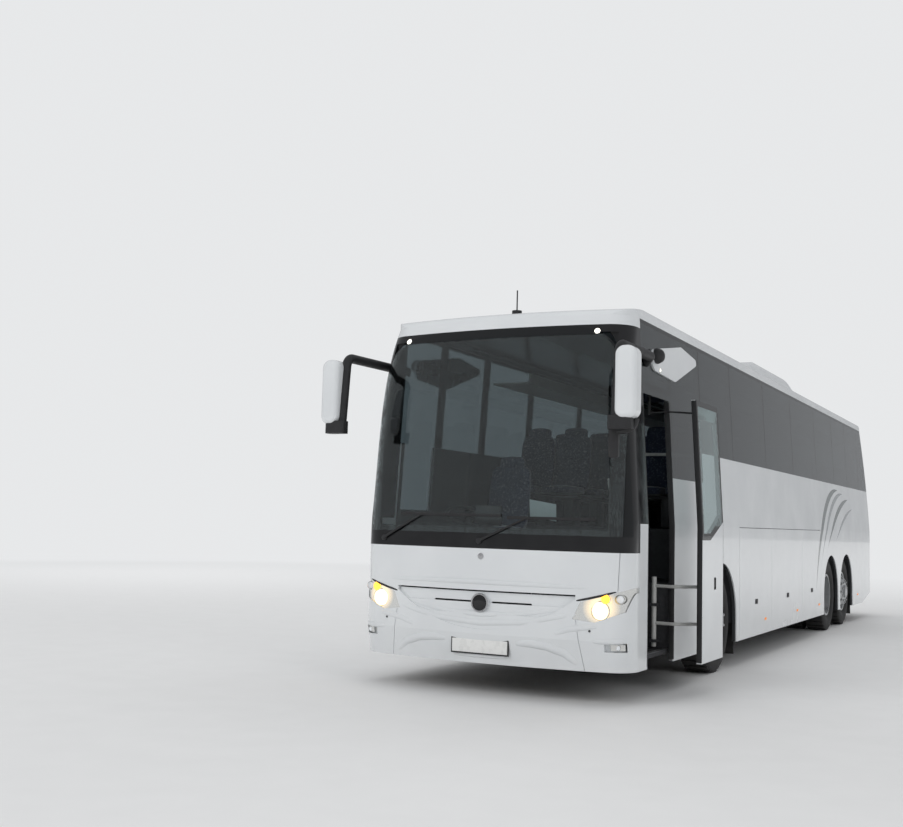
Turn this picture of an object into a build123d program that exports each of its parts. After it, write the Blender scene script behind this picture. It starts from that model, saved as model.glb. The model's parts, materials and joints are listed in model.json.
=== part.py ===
import os
from math import cos, radians, sin

from build123d import *

os.makedirs("parts", exist_ok=True)

# A three-axle touring coach. The nose faces -Y, the entrance door is on +X, +Z is up.
# Lengths are millimetres. A station is a distance behind the nose of the front bumper.

# Overall size
LENGTH = 13115
WIDTH = 2550
CROWN_Z = 3490
MIRROR_REACH = 350
NOSE_Y = -(LENGTH - MIRROR_REACH) / 2

# Body outline
SKIRT_Z = 270
BUMPER_TUCK = 55
BUMPER_NOSE_Z = 520
BUMPER_TOP_Z = 640
MASK_TOP_Z = 1236
SCREEN_BASE_Z = 1366
WAIST_Z = 1478
SCREEN_TOP_Z = 3160
HEAD_Z = 3250
EAVES_Z = 3360
EAVES_HALF = 1168
EAVES_RADIUS = 105
FRONT_BOW = 150
FRONT_CORNER = 240
REAR_CORNER = 160
SCREEN_BEND_Z = 2400
SCREEN_LEAN = 0.038
SCREEN_RADIUS = 1900
TAIL_RADIUS = 3600
BROW_Z = 3310
BROW_DEPTH = 81
DOME_DEPTH = 2500
TAIL_BROW_Z = 3430
TAIL_BROW_DEPTH = 360
TAIL_DOME_DEPTH = 1200
DOME_CLEAR = 10
ROOF_HATCHES = (3700, 9900)
HATCH_WIDTH = 680
HATCH_LENGTH = 620
HATCH_PROUD = 22
WALL = 45
GLASS = 8
STEP = 18
LID = 30
PROUD = 18
GAP = 6
RUNNING_FIT = 0.08

# Mirrors and wipers
MIRROR_ARM_RADIUS = 42
MIRROR_FOOT_Z = 2210
MIRROR_BASE_Z = 2290
MIRROR_TOP_Z = 2870
MIRROR_X = 1382
MIRROR_WIDTH = 176
MIRROR_DEPTH = 155
WIPER_WIDTH = 25

# Window band
GLASS_BASE_Z = 2190
SCREEN_EDGE = 270
FRONT_END = 400
POST_END = 612
REAR_START = 12850
PILLAR = 90
DIVIDERS = (2360, 3560, 5110, 6660, 8260, 9660, 10860, 12060)
GLASS_END = 12960
GLASS_TOP_END = 12520
WAIST_END = 12400

# Front mask: grille and lamps
GRILLE_HALF = 840
GRILLE_TOP_Z = 885
GRILLE_END_Z = 850
GRILLE_BASE_Z = 560
GRILLE_STEP_Z = 690
GRILLE_SLIT = 14
GRILLE_SLIT_END = 460
BOSS_RADIUS = 78
BOSS_Z = 780
SPLIT = 6
FOG_LAMP_X = (1125, 1222)
FOG_LAMP_Z = (448, 498)
FOG_POCKET_X = (1075, 1236)
FOG_POCKET_Z = (436, 510)

# Steps inside the entrance
STEP_FRONT = 570
STEP_REAR = 1400
STEP_THICK = 35
STEP_RISE = 195

# Entrance door, standing open
DOOR_START = 612
DOOR_END = 1340
DOOR_TOP_Z = 2600
LEAF_WIDTH = 700
LEAF_GLASS_Z = 1350
LEAF_GLASS_REAR_Z = 1520
LEAF_RIM = 60
HEADER_DEPTH = 100
HANDLE_START = 1010
HANDLE_WIDTH = 60
HANDLE_Z = 910
HANDLE_HEIGHT = 100
COLUMN_X = 1100
COLUMN_STATION = 1310
COLUMN_RADIUS = 22
ARM_RADIUS = 15
ARM_REACH = 390
ARM_SWING = 101.4
ARM_TRAVEL = 180
ARM_LEVELS = (600, 930)
UPPER_COLUMN_X = COLUMN_X - 62
UPPER_COLUMN_RADIUS = 14
UPPER_ARM_Z = 2500
UPPER_ARM_RADIUS = 9

# Wheels and axles
TYRE_RADIUS = 522
TYRE_WIDTH = 295
TREAD_WIDTH = 250
SHOULDER = 14
BEAD_RADIUS = 290
BEAD_WIDTH = 200
RIM_FLANGE = 305
RIM_WALL = 12
DISC_OFFSET = 160
DISC_THICK = 14
HAND_HOLES = 10
HAND_HOLE_RADIUS = 24
HAND_HOLE_CIRCLE = 222
SINGLE_SPAN = (1012, 1266)
TWIN_SPAN = (800, 1140)
HUB_RADIUS = 100
AXLE_Z = TYRE_RADIUS
FRONT_AXLE = 2970
DRIVE_AXLE = 9160
TAG_AXLE = 10500
FINAL_DRIVE = 300
FINAL_DRIVE_END = DRIVE_AXLE + FINAL_DRIVE / 2
SINGLE_X = 1078
TWIN_OUTER_X = 1083
TWIN_INNER_X = 763
ARCH_RADIUS = 585
LINER_RADIUS = 612
LINER_THICK = 6
LINER_INNER_X = 600
LINER_FOOT_Z = 460
BEAM_BASE_Z = 400
BEAM_TOP_Z = 490
KINGPIN_X = 925
KINGPIN_RADIUS = 20
EYE_RADIUS = 48
EYE_HALF = 56
LUG = 34
SPINDLE_RADIUS = 45
STEER_ARM = 200
SPRING_RADIUS = 75

# Luggage bay and floors
BAY_START = 3680
BAY_END = 8330
BAY_POSTS = (5230, 7010)
BAY_FLOOR_Z = 345
FLOOR_Z = 1440
FLOOR_THICK = 45
CAB_FLOOR_Z = 950
CAB_END = 2320
FLOOR_HALF = WIDTH / 2 - WALL
STEP_HALF = 1215
RAIL_X = 400

# Engine and its lid
ENGINE_START = 11450
ENGINE_END = 12650
GEARBOX = 550
DRIVE_SHAFT_RADIUS = 25
LID_BASE_Z = 760
LID_TOP_Z = 1900
LID_HALF = 820
REAR_GLASS_BASE_Z = 2250
REAR_GLASS_TOP_Z = 3020
REAR_GLASS_HALF = 980
TAIL_START = 12800
REAR_LAMP_X = (900, 1180)
REAR_LAMP_Z = (820, 1400)
REAR_LENSES_Z = (905, 1045, 1185, 1315)
REAR_LENS_RADIUS = 58
LOUVRES = 9
LOUVRE_BASE_Z = 860
LOUVRE_PITCH = 58
LOUVRE_SLOT = 22
LOUVRE_HALF = 660

# Roof fittings
UNIT_START = 5660
UNIT_END = 8560
UNIT_HALF = 850
UNIT_SHOULDER_Z = 3520
UNIT_TOP_Z = 3640
ANTENNA_STATION = 620
ANTENNA_Z = 3350

# Towing eyes
TOW_PIN_RADIUS = 22
TOW_PLATE = 50

# Seats
SEAT_PITCH = 790
SEAT_ROWS = 12
FIRST_SEAT = 2720
AISLE_HALF = 265
DRIVER_X = -650
SEAT_OUTER = 1150
SEAT_ROUND = 40
RACK_X = 700
RACK_Z = 2965
RACK_SPAN = (2500, 12000)


def y_at(station):
    """The Y of a station."""
    return NOSE_Y + station


def both_sides(inner, outer):
    """The ranges across, left and right, between two distances from the middle."""
    return ((-outer, -inner), (inner, outer))


def half_width(z):
    """Half the body's width at a height: upright to the waist, then leaning in."""
    lean = (WIDTH / 2 - EAVES_HALF) / (EAVES_Z - WAIST_Z)
    return WIDTH / 2 - max(0, z - WAIST_Z) * lean


def nose_setback(z):
    """How far the front face stands behind the nose at a height."""
    if z < BUMPER_NOSE_Z:
        return BUMPER_TUCK * (BUMPER_NOSE_Z - z) / (BUMPER_NOSE_Z - SKIRT_Z)
    lean = SCREEN_LEAN * max(0, z - MASK_TOP_Z)
    bend = max(0, z - SCREEN_BEND_Z) ** 2 / (2 * SCREEN_RADIUS)
    return lean + bend


def tail_setback(z):
    """How far the rear face leans forward at a height."""
    return max(0, z - WAIST_Z) ** 2 / (2 * TAIL_RADIUS)


def box(x, s, z, mode=Mode.ADD):
    """A block in the open part, from its ranges across, in stations and in height."""
    with Locations((sum(x) / 2, y_at(sum(s) / 2), sum(z) / 2)):
        Box(x[1] - x[0], s[1] - s[0], z[1] - z[0], mode=mode)


def save(part, name):
    """Label a finished piece and write it."""
    part.label = name
    export_step(part, f"parts/{name}.step")


def plan_outline(z, inset):
    """A level slice of the body: bowed front, straight sides, round corners."""
    half = half_width(z) - inset
    nose = y_at(nose_setback(z)) + inset
    tail = y_at(LENGTH - tail_setback(z)) - inset
    bow = FRONT_BOW * (half_width(z) / (WIDTH / 2)) ** 2
    with BuildSketch(Plane.XY.offset(z)) as outline:
        with BuildLine():
            front = ThreePointArc((-half, nose + bow), (0, nose), (half, nose + bow))
            Polyline(front @ 1, (half, tail), (-half, tail), front @ 0)
        make_face()
        fillet(outline.vertices().group_by(Axis.Y)[0], radius=FRONT_CORNER - inset)
        fillet(outline.vertices().group_by(Axis.Y)[-1], radius=REAR_CORNER - inset)
    return outline.sketch


def dome_form(inset):
    """The roof's fall to the nose, turned about the centre of the front's bow, and its round tail."""
    half = half_width(HEAD_Z)
    bow = FRONT_BOW * (half / (WIDTH / 2)) ** 2
    bow_radius = (half**2 + bow**2) / (2 * bow)
    nose = y_at(nose_setback(HEAD_Z)) + inset
    tail = y_at(LENGTH - tail_setback(HEAD_Z)) - inset
    crown_z = CROWN_Z + DOME_CLEAR - inset
    lean = SCREEN_LEAN + (HEAD_Z - SCREEN_BEND_Z) / SCREEN_RADIUS
    fall = (HEAD_Z - WAIST_Z) / TAIL_RADIUS
    centre_y = nose + bow_radius
    with BuildPart() as dome:
        with BuildSketch(Plane.XZ.offset(-centre_y)):
            with BuildLine():
                foot = (bow_radius, HEAD_Z - inset)
                brow = TangentArc(foot, (bow_radius - BROW_DEPTH, BROW_Z - inset), tangent=(-lean, 1))
                rise = TangentArc(brow @ 1, (bow_radius - DOME_DEPTH, crown_z), tangent=brow % 1)
                Polyline(rise @ 1, (0, crown_z), (0, HEAD_Z - inset), foot)
            make_face()
        revolve(axis=Axis((0, centre_y, 0), (0, 0, 1)), revolution_arc=-180)
        with BuildSketch(Plane.YZ):
            with BuildLine():
                tail_brow = (tail - TAIL_BROW_DEPTH, TAIL_BROW_Z - inset)
                drop = TangentArc((tail, HEAD_Z), tail_brow, tangent=(-fall, 1))
                Polyline(
                    drop @ 1,
                    (tail - TAIL_DOME_DEPTH, crown_z),
                    (centre_y, crown_z),
                    (centre_y, HEAD_Z),
                    (tail, HEAD_Z),
                )
            make_face()
        extrude(amount=WIDTH, both=True)
    return dome.part


def roof_form(inset):
    """The closed form above the windscreen: cambered across, domed fore and aft."""
    dome = dome_form(inset)
    edge_z = EAVES_Z - inset
    edge = half_width(edge_z) - inset
    base = half_width(HEAD_Z) - inset
    with BuildPart() as roof:
        with BuildSketch(Plane.XZ) as section:
            with BuildLine():
                camber = ThreePointArc((-edge, edge_z), (0, CROWN_Z - inset), (edge, edge_z))
                Polyline(camber @ 1, (base, HEAD_Z), (-base, HEAD_Z), camber @ 0)
            make_face()
            eaves = section.vertices().sort_by(Axis.Y)[-2:]
            fillet(eaves, radius=EAVES_RADIUS - inset)
        extrude(amount=LENGTH, both=True)
        extrude(plan_outline(HEAD_Z, inset), amount=CROWN_Z, mode=Mode.INTERSECT)
        add(dome, mode=Mode.INTERSECT)
    return roof.part


def lower_form(inset):
    """The closed form of the body up to the waist, tucked in under the bumper."""
    levels = (SKIRT_Z, BUMPER_NOSE_Z, MASK_TOP_Z, WAIST_Z)
    with BuildPart() as form:
        loft([plan_outline(z, inset) for z in levels], ruled=True)
    return form.part


def upper_form(inset):
    """The closed form from the waist to the roof: sides, windscreen and rear face lean in."""
    levels = (WAIST_Z, SCREEN_BEND_Z, (SCREEN_BEND_Z + HEAD_Z) / 2, HEAD_Z)
    with BuildPart() as form:
        loft([plan_outline(z, inset) for z in levels])
    return form.part


def skin(outside, back, x, s, z):
    """The shell between two forms, inside a block of space."""
    with BuildPart() as panel:
        box(x, s, z)
        add(outside, mode=Mode.INTERSECT)
        add(back, mode=Mode.SUBTRACT)
    return panel.part


def wheel_plane(x, axle):
    """The upright plane across an axle, with its origin on the wheel's axis."""
    return Plane(origin=(x, y_at(axle), AXLE_Z), x_dir=(1, 0, 0), z_dir=(0, -1, 0))


def wheel_axis(axle):
    """The axis that a wheel turns on."""
    return Axis((0, y_at(axle), AXLE_Z), (1, 0, 0))


def cylinder_x(x, axle, radius, mode=Mode.ADD, z=AXLE_Z):
    """A cylinder in the open part, lying along X over an axle's station."""
    with Locations(Location((sum(x) / 2, y_at(axle), z), (0, 90, 0))):
        Cylinder(radius, abs(x[1] - x[0]), mode=mode)


def side_prism(points, x):
    """A prism through the body from one side, from points of station and height."""
    with BuildPart() as prism:
        with BuildSketch(Plane.YZ.offset(x[0])):
            with BuildLine():
                Polyline([(y_at(s), z) for s, z in points], close=True)
            make_face()
        extrude(amount=x[1] - x[0])
    return prism.part


def front_prism(points, s):
    """A prism through the front, from points across and in height."""
    with BuildPart() as prism:
        with BuildSketch(Plane.XZ.offset(-y_at(s[1]))):
            with BuildLine():
                Polyline(points, close=True)
            make_face()
        extrude(amount=s[1] - s[0])
    return prism.part


# Forms that the skin is cut from
FULL = (-WIDTH, WIDTH)
LEFT = (-WIDTH, 0)
RIGHT = (0, 2 * WIDTH)
LOWER, LOWER_GLASS, LOWER_STEP, LOWER_LID, LOWER_IN = (
    lower_form(inset) for inset in (0, GLASS, STEP, LID, WALL)
)
UPPER, UPPER_GLASS, UPPER_LID, UPPER_IN = (upper_form(inset) for inset in (0, GLASS, LID, WALL))
UPPER_PROUD = upper_form(-PROUD)
ROOF, ROOF_IN = roof_form(0), roof_form(WALL)

# The tail's underside rises to the rear
tail_rise = side_prism(
    [(12100, 0), (12100, SKIRT_Z), (12950, 410), (13080, 600), (LENGTH + 50, 640), (LENGTH + 50, 0)],
    FULL,
)

# Lower side panels with the wheel arches, parted by the luggage flaps
with BuildPart() as lower_panels:
    add(skin(LOWER, LOWER_IN, FULL, (FRONT_END, BAY_START - GAP / 2), (SKIRT_Z, WAIST_Z)))
    add(skin(LOWER, LOWER_IN, FULL, (BAY_END + GAP / 2, REAR_START), (SKIRT_Z, WAIST_Z)))
    box(RIGHT, (DOOR_START, DOOR_END), (0, WAIST_Z), Mode.SUBTRACT)
    for axle in (FRONT_AXLE, DRIVE_AXLE, TAG_AXLE):
        cylinder_x(FULL, axle, ARCH_RADIUS, Mode.SUBTRACT)
        box(FULL, (axle - ARCH_RADIUS, axle + ARCH_RADIUS), (0, AXLE_Z), Mode.SUBTRACT)
    add(tail_rise, mode=Mode.SUBTRACT)
save(lower_panels.part, "lower_panels")

# Luggage flaps, three on each side
flap_edges = (BAY_START, *BAY_POSTS, BAY_END)
for side, reach in (("left", LEFT), ("right", RIGHT)):
    for number, (start, end) in enumerate(zip(flap_edges, flap_edges[1:]), 1):
        with BuildPart() as flap:
            stations = (start + GAP / 2, end - GAP / 2)
            add(skin(LOWER, LOWER_LID, reach, stations, (SKIRT_Z, WAIST_Z - GAP)))
        save(flap.part, f"luggage_flap_{side}_{number}")

# Side glass: one flush band a side, down over the driver's window on the left
# and over the window behind the door on the right
glass_band = side_prism(
    [
        (POST_END, GLASS_BASE_Z),
        (GLASS_END, GLASS_BASE_Z),
        (GLASS_TOP_END, HEAD_Z),
        (POST_END, HEAD_Z),
    ],
    FULL,
)
low_windows = (
    (LEFT, (700, 1300), (1560, GLASS_BASE_Z)),
    (RIGHT, (DOOR_END, CAB_END), (1900, GLASS_BASE_Z)),
)
with BuildPart() as side_glass:
    add(UPPER)
    add(glass_band, mode=Mode.INTERSECT)
    for window in low_windows:
        add(skin(UPPER, UPPER_GLASS, *window))
    add(UPPER_GLASS, mode=Mode.SUBTRACT)
    box(RIGHT, (0, DOOR_END), (0, DOOR_TOP_Z), Mode.SUBTRACT)
save(side_glass.part, "side_glass")

# Waist panels between the flaps and the glass
with BuildPart() as waist_panels:
    add(skin(UPPER, UPPER_IN, FULL, (POST_END, WAIST_END), (WAIST_Z, GLASS_BASE_Z)))
    box(RIGHT, (0, DOOR_END), (0, HEAD_Z), Mode.SUBTRACT)
    for window in low_windows:
        box(*window, Mode.SUBTRACT)
save(waist_panels.part, "waist_panels")

# Window pillars behind the glass
with BuildPart() as window_pillars:
    for station in DIVIDERS:
        box(FULL, (station - PILLAR / 2, station + PILLAR / 2), (GLASS_BASE_Z, HEAD_Z))
    box(FULL, (DOOR_END, DOOR_END + PILLAR), (GLASS_BASE_Z, HEAD_Z))
    add(UPPER_GLASS, mode=Mode.INTERSECT)
    add(UPPER_IN, mode=Mode.SUBTRACT)
save(window_pillars.part, "window_pillars")

# Header over the doorway, with the bearing of the door's thin upper arm
header_z = (DOOR_TOP_Z, DOOR_TOP_Z + HEADER_DEPTH)
with BuildPart() as door_header:
    box(RIGHT, (POST_END, DOOR_END), header_z)
    add(UPPER_GLASS, mode=Mode.INTERSECT)
    add(UPPER_IN, mode=Mode.SUBTRACT)
    box((UPPER_COLUMN_X - 88, 1165), (POST_END + 28, DOOR_END + 50), header_z)
    add(window_pillars.part, mode=Mode.SUBTRACT)
    with Locations((UPPER_COLUMN_X, y_at(COLUMN_STATION), DOOR_TOP_Z)):
        Cylinder(UPPER_COLUMN_RADIUS + RUNNING_FIT, 80, mode=Mode.SUBTRACT)
save(door_header.part, "door_header")

# Windscreen, wrapped into the corners
with BuildPart() as windscreen:
    add(skin(UPPER, UPPER_GLASS, FULL, (-50, SCREEN_EDGE), (WAIST_Z, SCREEN_TOP_Z)))
    add(skin(LOWER, LOWER_GLASS, FULL, (-50, SCREEN_EDGE), (SCREEN_BASE_Z, WAIST_Z)))
save(windscreen.part, "windscreen")

# Windscreen frame: corner pillars, sill and header behind the glass
with BuildPart() as windscreen_frame:
    add(skin(UPPER, UPPER_IN, FULL, (-50, POST_END), (WAIST_Z, SCREEN_TOP_Z)))
    add(skin(LOWER, LOWER_IN, FULL, (-50, FRONT_END), (MASK_TOP_Z, WAIST_Z)))
    add(windscreen.part, mode=Mode.SUBTRACT)
    box((-1090, 1090), (-50, 340), (SCREEN_BASE_Z + 50, SCREEN_TOP_Z - 70), Mode.SUBTRACT)
save(windscreen_frame.part, "windscreen_frame")

# Visor above the windscreen
visor = skin(UPPER, UPPER_IN, FULL, (-50, POST_END), (SCREEN_TOP_Z, HEAD_Z))
save(visor, "front_visor")

# Roof panel
with BuildPart() as roof_panel:
    add(ROOF)
    with BuildSketch(Plane.XY.offset(CROWN_Z - WALL)):
        for station in ROOF_HATCHES:
            with Locations((0, y_at(station))):
                RectangleRounded(HATCH_WIDTH, HATCH_LENGTH, 60)
    extrude(amount=WALL + HATCH_PROUD)
    add(ROOF_IN, mode=Mode.SUBTRACT)
save(roof_panel.part, "roof_panel")

# The grille's opening, arched below, and the headlamps' openings, both seen from the front
with BuildPart() as grille_hole:
    with BuildSketch(Plane.XZ.offset(-y_at(FRONT_END))):
        with BuildLine():
            lower_edge = ThreePointArc(
                (-GRILLE_HALF, GRILLE_END_Z), (0, GRILLE_BASE_Z), (GRILLE_HALF, GRILLE_END_Z)
            )
            Polyline(
                lower_edge @ 1,
                (GRILLE_HALF, GRILLE_TOP_Z),
                (-GRILLE_HALF, GRILLE_TOP_Z),
                lower_edge @ 0,
            )
        make_face()
    extrude(amount=FRONT_END + 50)

lamp_outline = [(815, 690), (1000, 670), (1230, 760), (1290, 960), (1130, 900), (880, 830)]
with BuildPart() as lamp_holes:
    add(front_prism(lamp_outline, (-50, FRONT_END)))
    mirror(about=Plane.YZ)

# Lamps in each housing: distance from the middle, height, bowl radius
lamps = ((1035, 762, 72), (1100, 852, 34), (1192, 862, 40))


def lamp_cores(margin):
    """Cylinders along the coach through every lamp, on both sides."""
    with BuildPart() as cores:
        for x, z, radius in lamps:
            with Locations(Location((x, y_at(FRONT_END / 2), z), (90, 0, 0))):
                Cylinder(radius - margin, FRONT_END)
        mirror(about=Plane.YZ)
    return cores.part


with BuildPart() as lamp_bowls:
    add(LOWER)
    add(lamp_cores(0), mode=Mode.INTERSECT)
    add(LOWER_LID, mode=Mode.SUBTRACT)
with BuildPart() as lamp_lenses:
    add(LOWER_STEP)
    add(lamp_cores(GAP), mode=Mode.INTERSECT)
    add(LOWER_LID, mode=Mode.SUBTRACT)
with BuildPart() as headlamps:
    add(skin(LOWER_GLASS, LOWER_IN, FULL, (-50, FRONT_END), (BUMPER_TOP_Z, MASK_TOP_Z)))
    add(lamp_bowls.part, mode=Mode.SUBTRACT)
    add(lamp_lenses.part)
    add(lamp_holes.part, mode=Mode.INTERSECT)
    for across in both_sides(*FOG_LAMP_X):
        add(skin(LOWER_GLASS, LOWER_LID, across, (-50, FRONT_END), FOG_LAMP_Z))
save(headlamps.part, "headlamps")

# Front mask and bumper, with the bumper's corners split off by a groove
splits = (
    [(905, SKIRT_Z), (905 + SPLIT, SKIRT_Z), (840 + SPLIT, 700), (840, 700)],
    [(1172, 900), (1172 + SPLIT, 900), (1184 + SPLIT, MASK_TOP_Z), (1184, MASK_TOP_Z)],
)
with BuildPart() as split_grooves:
    for outline in splits:
        add(front_prism(outline, (-50, FRONT_END)))
    mirror(about=Plane.YZ)
    add(LOWER_GLASS, mode=Mode.SUBTRACT)

with BuildPart() as front_mask:
    add(skin(LOWER, LOWER_IN, FULL, (-50, FRONT_END), (BUMPER_TOP_Z, MASK_TOP_Z)))
    for hole in (grille_hole, lamp_holes, split_grooves):
        add(hole.part, mode=Mode.SUBTRACT)
save(front_mask.part, "front_mask")

with BuildPart() as front_bumper:
    add(skin(LOWER, LOWER_IN, FULL, (-50, FRONT_END), (SKIRT_Z, BUMPER_TOP_Z)))
    for hole in (grille_hole, split_grooves):
        add(hole.part, mode=Mode.SUBTRACT)
    for across in both_sides(*FOG_POCKET_X):
        add(skin(LOWER, LOWER_LID, across, (-50, FRONT_END), FOG_POCKET_Z), mode=Mode.SUBTRACT)
save(front_bumper.part, "front_bumper")

# Grille: three stepped slats, each with its foot, top and front form, and a round boss
slats = (
    (GRILLE_BASE_Z, GRILLE_STEP_Z, LOWER_GLASS),
    (GRILLE_STEP_Z, BOSS_Z, LOWER_STEP),
    (BOSS_Z, GRILLE_TOP_Z - GRILLE_SLIT, LOWER_LID),
)
with BuildPart() as grille:
    for foot_z, top_z, front in slats:
        add(skin(front, LOWER_IN, FULL, (-50, FRONT_END), (foot_z, top_z)))
    add(grille_hole.part, mode=Mode.INTERSECT)
    for across in both_sides(BOSS_RADIUS + 20, GRILLE_SLIT_END):
        box(across, (-50, FRONT_END), (BOSS_Z, BOSS_Z + GRILLE_SLIT), Mode.SUBTRACT)
    with Locations(Location((0, y_at(WALL / 2 + 2), BOSS_Z), (90, 0, 0))):
        Cylinder(BOSS_RADIUS, WALL - 4)
save(grille.part, "grille")

# Rear panel, its window, the engine lid and the lamps
lid_hole = ((-LID_HALF, LID_HALF), (TAIL_START, LENGTH + 50), (LID_BASE_Z, LID_TOP_Z))
rear_glass_across = (-REAR_GLASS_HALF, REAR_GLASS_HALF)
rear_glass_hole = (rear_glass_across, (12500, LENGTH + 50), (REAR_GLASS_BASE_Z, REAR_GLASS_TOP_Z))
with BuildPart() as rear_lamp_lenses:
    for z in REAR_LENSES_Z:
        with Locations(Location((sum(REAR_LAMP_X) / 2, y_at(LENGTH - 50), z), (90, 0, 0))):
            Cylinder(REAR_LENS_RADIUS, 200)
    add(LOWER, mode=Mode.INTERSECT)
    add(LOWER_IN, mode=Mode.SUBTRACT)
with BuildPart() as rear_lamps:
    add(skin(LOWER_GLASS, LOWER_IN, REAR_LAMP_X, (TAIL_START, LENGTH + 50), REAR_LAMP_Z))
    add(rear_lamp_lenses.part)
    mirror(about=Plane.YZ)
save(rear_lamps.part, "rear_lamps")

rear_glass = skin(UPPER, UPPER_GLASS, *rear_glass_hole)
save(rear_glass, "rear_glass")

with BuildPart() as rear_panel:
    add(skin(LOWER, LOWER_IN, FULL, (REAR_START, LENGTH + 50), (SKIRT_Z, WAIST_Z)))
    add(skin(UPPER, UPPER_IN, FULL, (WAIST_END, LENGTH + 50), (WAIST_Z, HEAD_Z)))
    add(side_glass.part, mode=Mode.SUBTRACT)
    for across in both_sides(*REAR_LAMP_X):
        box(across, (TAIL_START, LENGTH + 50), REAR_LAMP_Z, Mode.SUBTRACT)
    add(tail_rise, mode=Mode.SUBTRACT)
    box(*lid_hole, Mode.SUBTRACT)
    box(*rear_glass_hole, Mode.SUBTRACT)
save(rear_panel.part, "rear_panel")

lid_across = (-LID_HALF + GAP, LID_HALF - GAP)
with BuildPart() as engine_lid:
    add(skin(LOWER, LOWER_LID, lid_across, (TAIL_START, LENGTH + 50), (LID_BASE_Z + GAP, WAIST_Z)))
    add(skin(UPPER, UPPER_LID, lid_across, (TAIL_START, LENGTH + 50), (WAIST_Z, LID_TOP_Z - GAP)))
    for row in range(LOUVRES):
        z = LOUVRE_BASE_Z + row * LOUVRE_PITCH
        for across in both_sides(30, LOUVRE_HALF):
            box(across, (TAIL_START, LENGTH + 50), (z, z + LOUVRE_SLOT), Mode.SUBTRACT)
save(engine_lid.part, "engine_lid")

# Engine
with BuildPart() as engine_block:
    box((-330, 330), (ENGINE_START, ENGINE_END), (430, 1150))
    chamfer(engine_block.edges().filter_by(Axis.Y), 60)
    for station in (ENGINE_START + 120, ENGINE_END - 220):
        box((40 - RAIL_X, RAIL_X - 40), (station, station + 100), (690, 760))
    box((-190, 190), (ENGINE_START - GEARBOX, ENGINE_START + 30), (450, 860))
    drive_shaft = (FINAL_DRIVE_END, ENGINE_START - GEARBOX)
    with Locations(Location((0, y_at(sum(drive_shaft) / 2), AXLE_Z), (90, 0, 0))):
        Cylinder(DRIVE_SHAFT_RADIUS, drive_shaft[1] - drive_shaft[0])
save(engine_block.part, "engine_block")

# Luggage bay: floor, bulkheads and the posts between the flaps
with BuildPart() as luggage_bay:
    box((-FLOOR_HALF, FLOOR_HALF), (BAY_START, BAY_END), (300, BAY_FLOOR_Z))
    for station in (BAY_START, BAY_END - 30):
        box((-FLOOR_HALF, FLOOR_HALF), (station, station + 30), (300, FLOOR_Z - FLOOR_THICK))
    for station in BAY_POSTS:
        for across in both_sides(FLOOR_HALF - 80, FLOOR_HALF):
            box(across, (station - 30, station + 30), (300, FLOOR_Z - FLOOR_THICK))
save(luggage_bay.part, "luggage_bay")

# Passenger floor with its kerbs, and the wheel housings under it
with BuildPart() as passenger_floor:
    for axle in (FRONT_AXLE, DRIVE_AXLE, TAG_AXLE):
        for across in both_sides(LINER_INNER_X, FLOOR_HALF):
            cylinder_x(across, axle, LINER_RADIUS + LINER_THICK)
    for axle in (FRONT_AXLE, DRIVE_AXLE, TAG_AXLE):
        cylinder_x(FULL, axle, LINER_RADIUS, Mode.SUBTRACT)
    box(FULL, (0, LENGTH), (-LINER_RADIUS, LINER_FOOT_Z), Mode.SUBTRACT)
    box((-FLOOR_HALF, FLOOR_HALF), (CAB_END, 12900), (FLOOR_Z - FLOOR_THICK, FLOOR_Z))
    for across in both_sides(FLOOR_HALF - 40, FLOOR_HALF):
        box(across, (CAB_END, WAIST_END), (FLOOR_Z, WAIST_Z))
    for across in both_sides(FLOOR_HALF, FLOOR_HALF + WALL - LID - GAP):
        box(across, (BAY_START, BAY_END), (FLOOR_Z, WAIST_Z))
save(passenger_floor.part, "passenger_floor")

# Cab floor and the steps inside the door: inner edge, outer edge and height of each tread
steps = ((800, STEP_HALF, 370), (575, 800, 565), (350, 575, 760))
with BuildPart() as entrance_steps:
    box((-FLOOR_HALF, 350), (450, CAB_END), (CAB_FLOOR_Z - 40, CAB_FLOOR_Z))
    box((350, FLOOR_HALF), (STEP_REAR, CAB_END), (CAB_FLOOR_Z - 40, CAB_FLOOR_Z))
    for inner, outer, tread_z in steps:
        box((inner, outer), (STEP_FRONT, STEP_REAR), (tread_z - STEP_THICK, tread_z))
        box((inner - 20, inner), (STEP_FRONT, STEP_REAR), (tread_z - STEP_THICK, tread_z + STEP_RISE))
    box((330, FLOOR_HALF), (STEP_REAR - 25, STEP_REAR), (335, CAB_FLOOR_Z))
    box((330, 1150), (STEP_FRONT - 25, STEP_FRONT), (335, CAB_FLOOR_Z))
    box((-FLOOR_HALF, FLOOR_HALF), (CAB_END - 30, CAB_END), (CAB_FLOOR_Z - 40, FLOOR_Z - FLOOR_THICK))
    rail_notch = (RAIL_X - 50, RAIL_X + 50)
    box(rail_notch, (STEP_FRONT - 25, STEP_REAR), (590, 724), Mode.SUBTRACT)
    for z in (430, 750):
        bearing = (COLUMN_X - 35, COLUMN_X + 35)
        box(bearing, (COLUMN_STATION - 35, STEP_REAR), (z, z + 25))
    with Locations((COLUMN_X, y_at(COLUMN_STATION), 600)):
        Cylinder(COLUMN_RADIUS + RUNNING_FIT, 420, mode=Mode.SUBTRACT)
save(entrance_steps.part, "entrance_steps")

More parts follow.
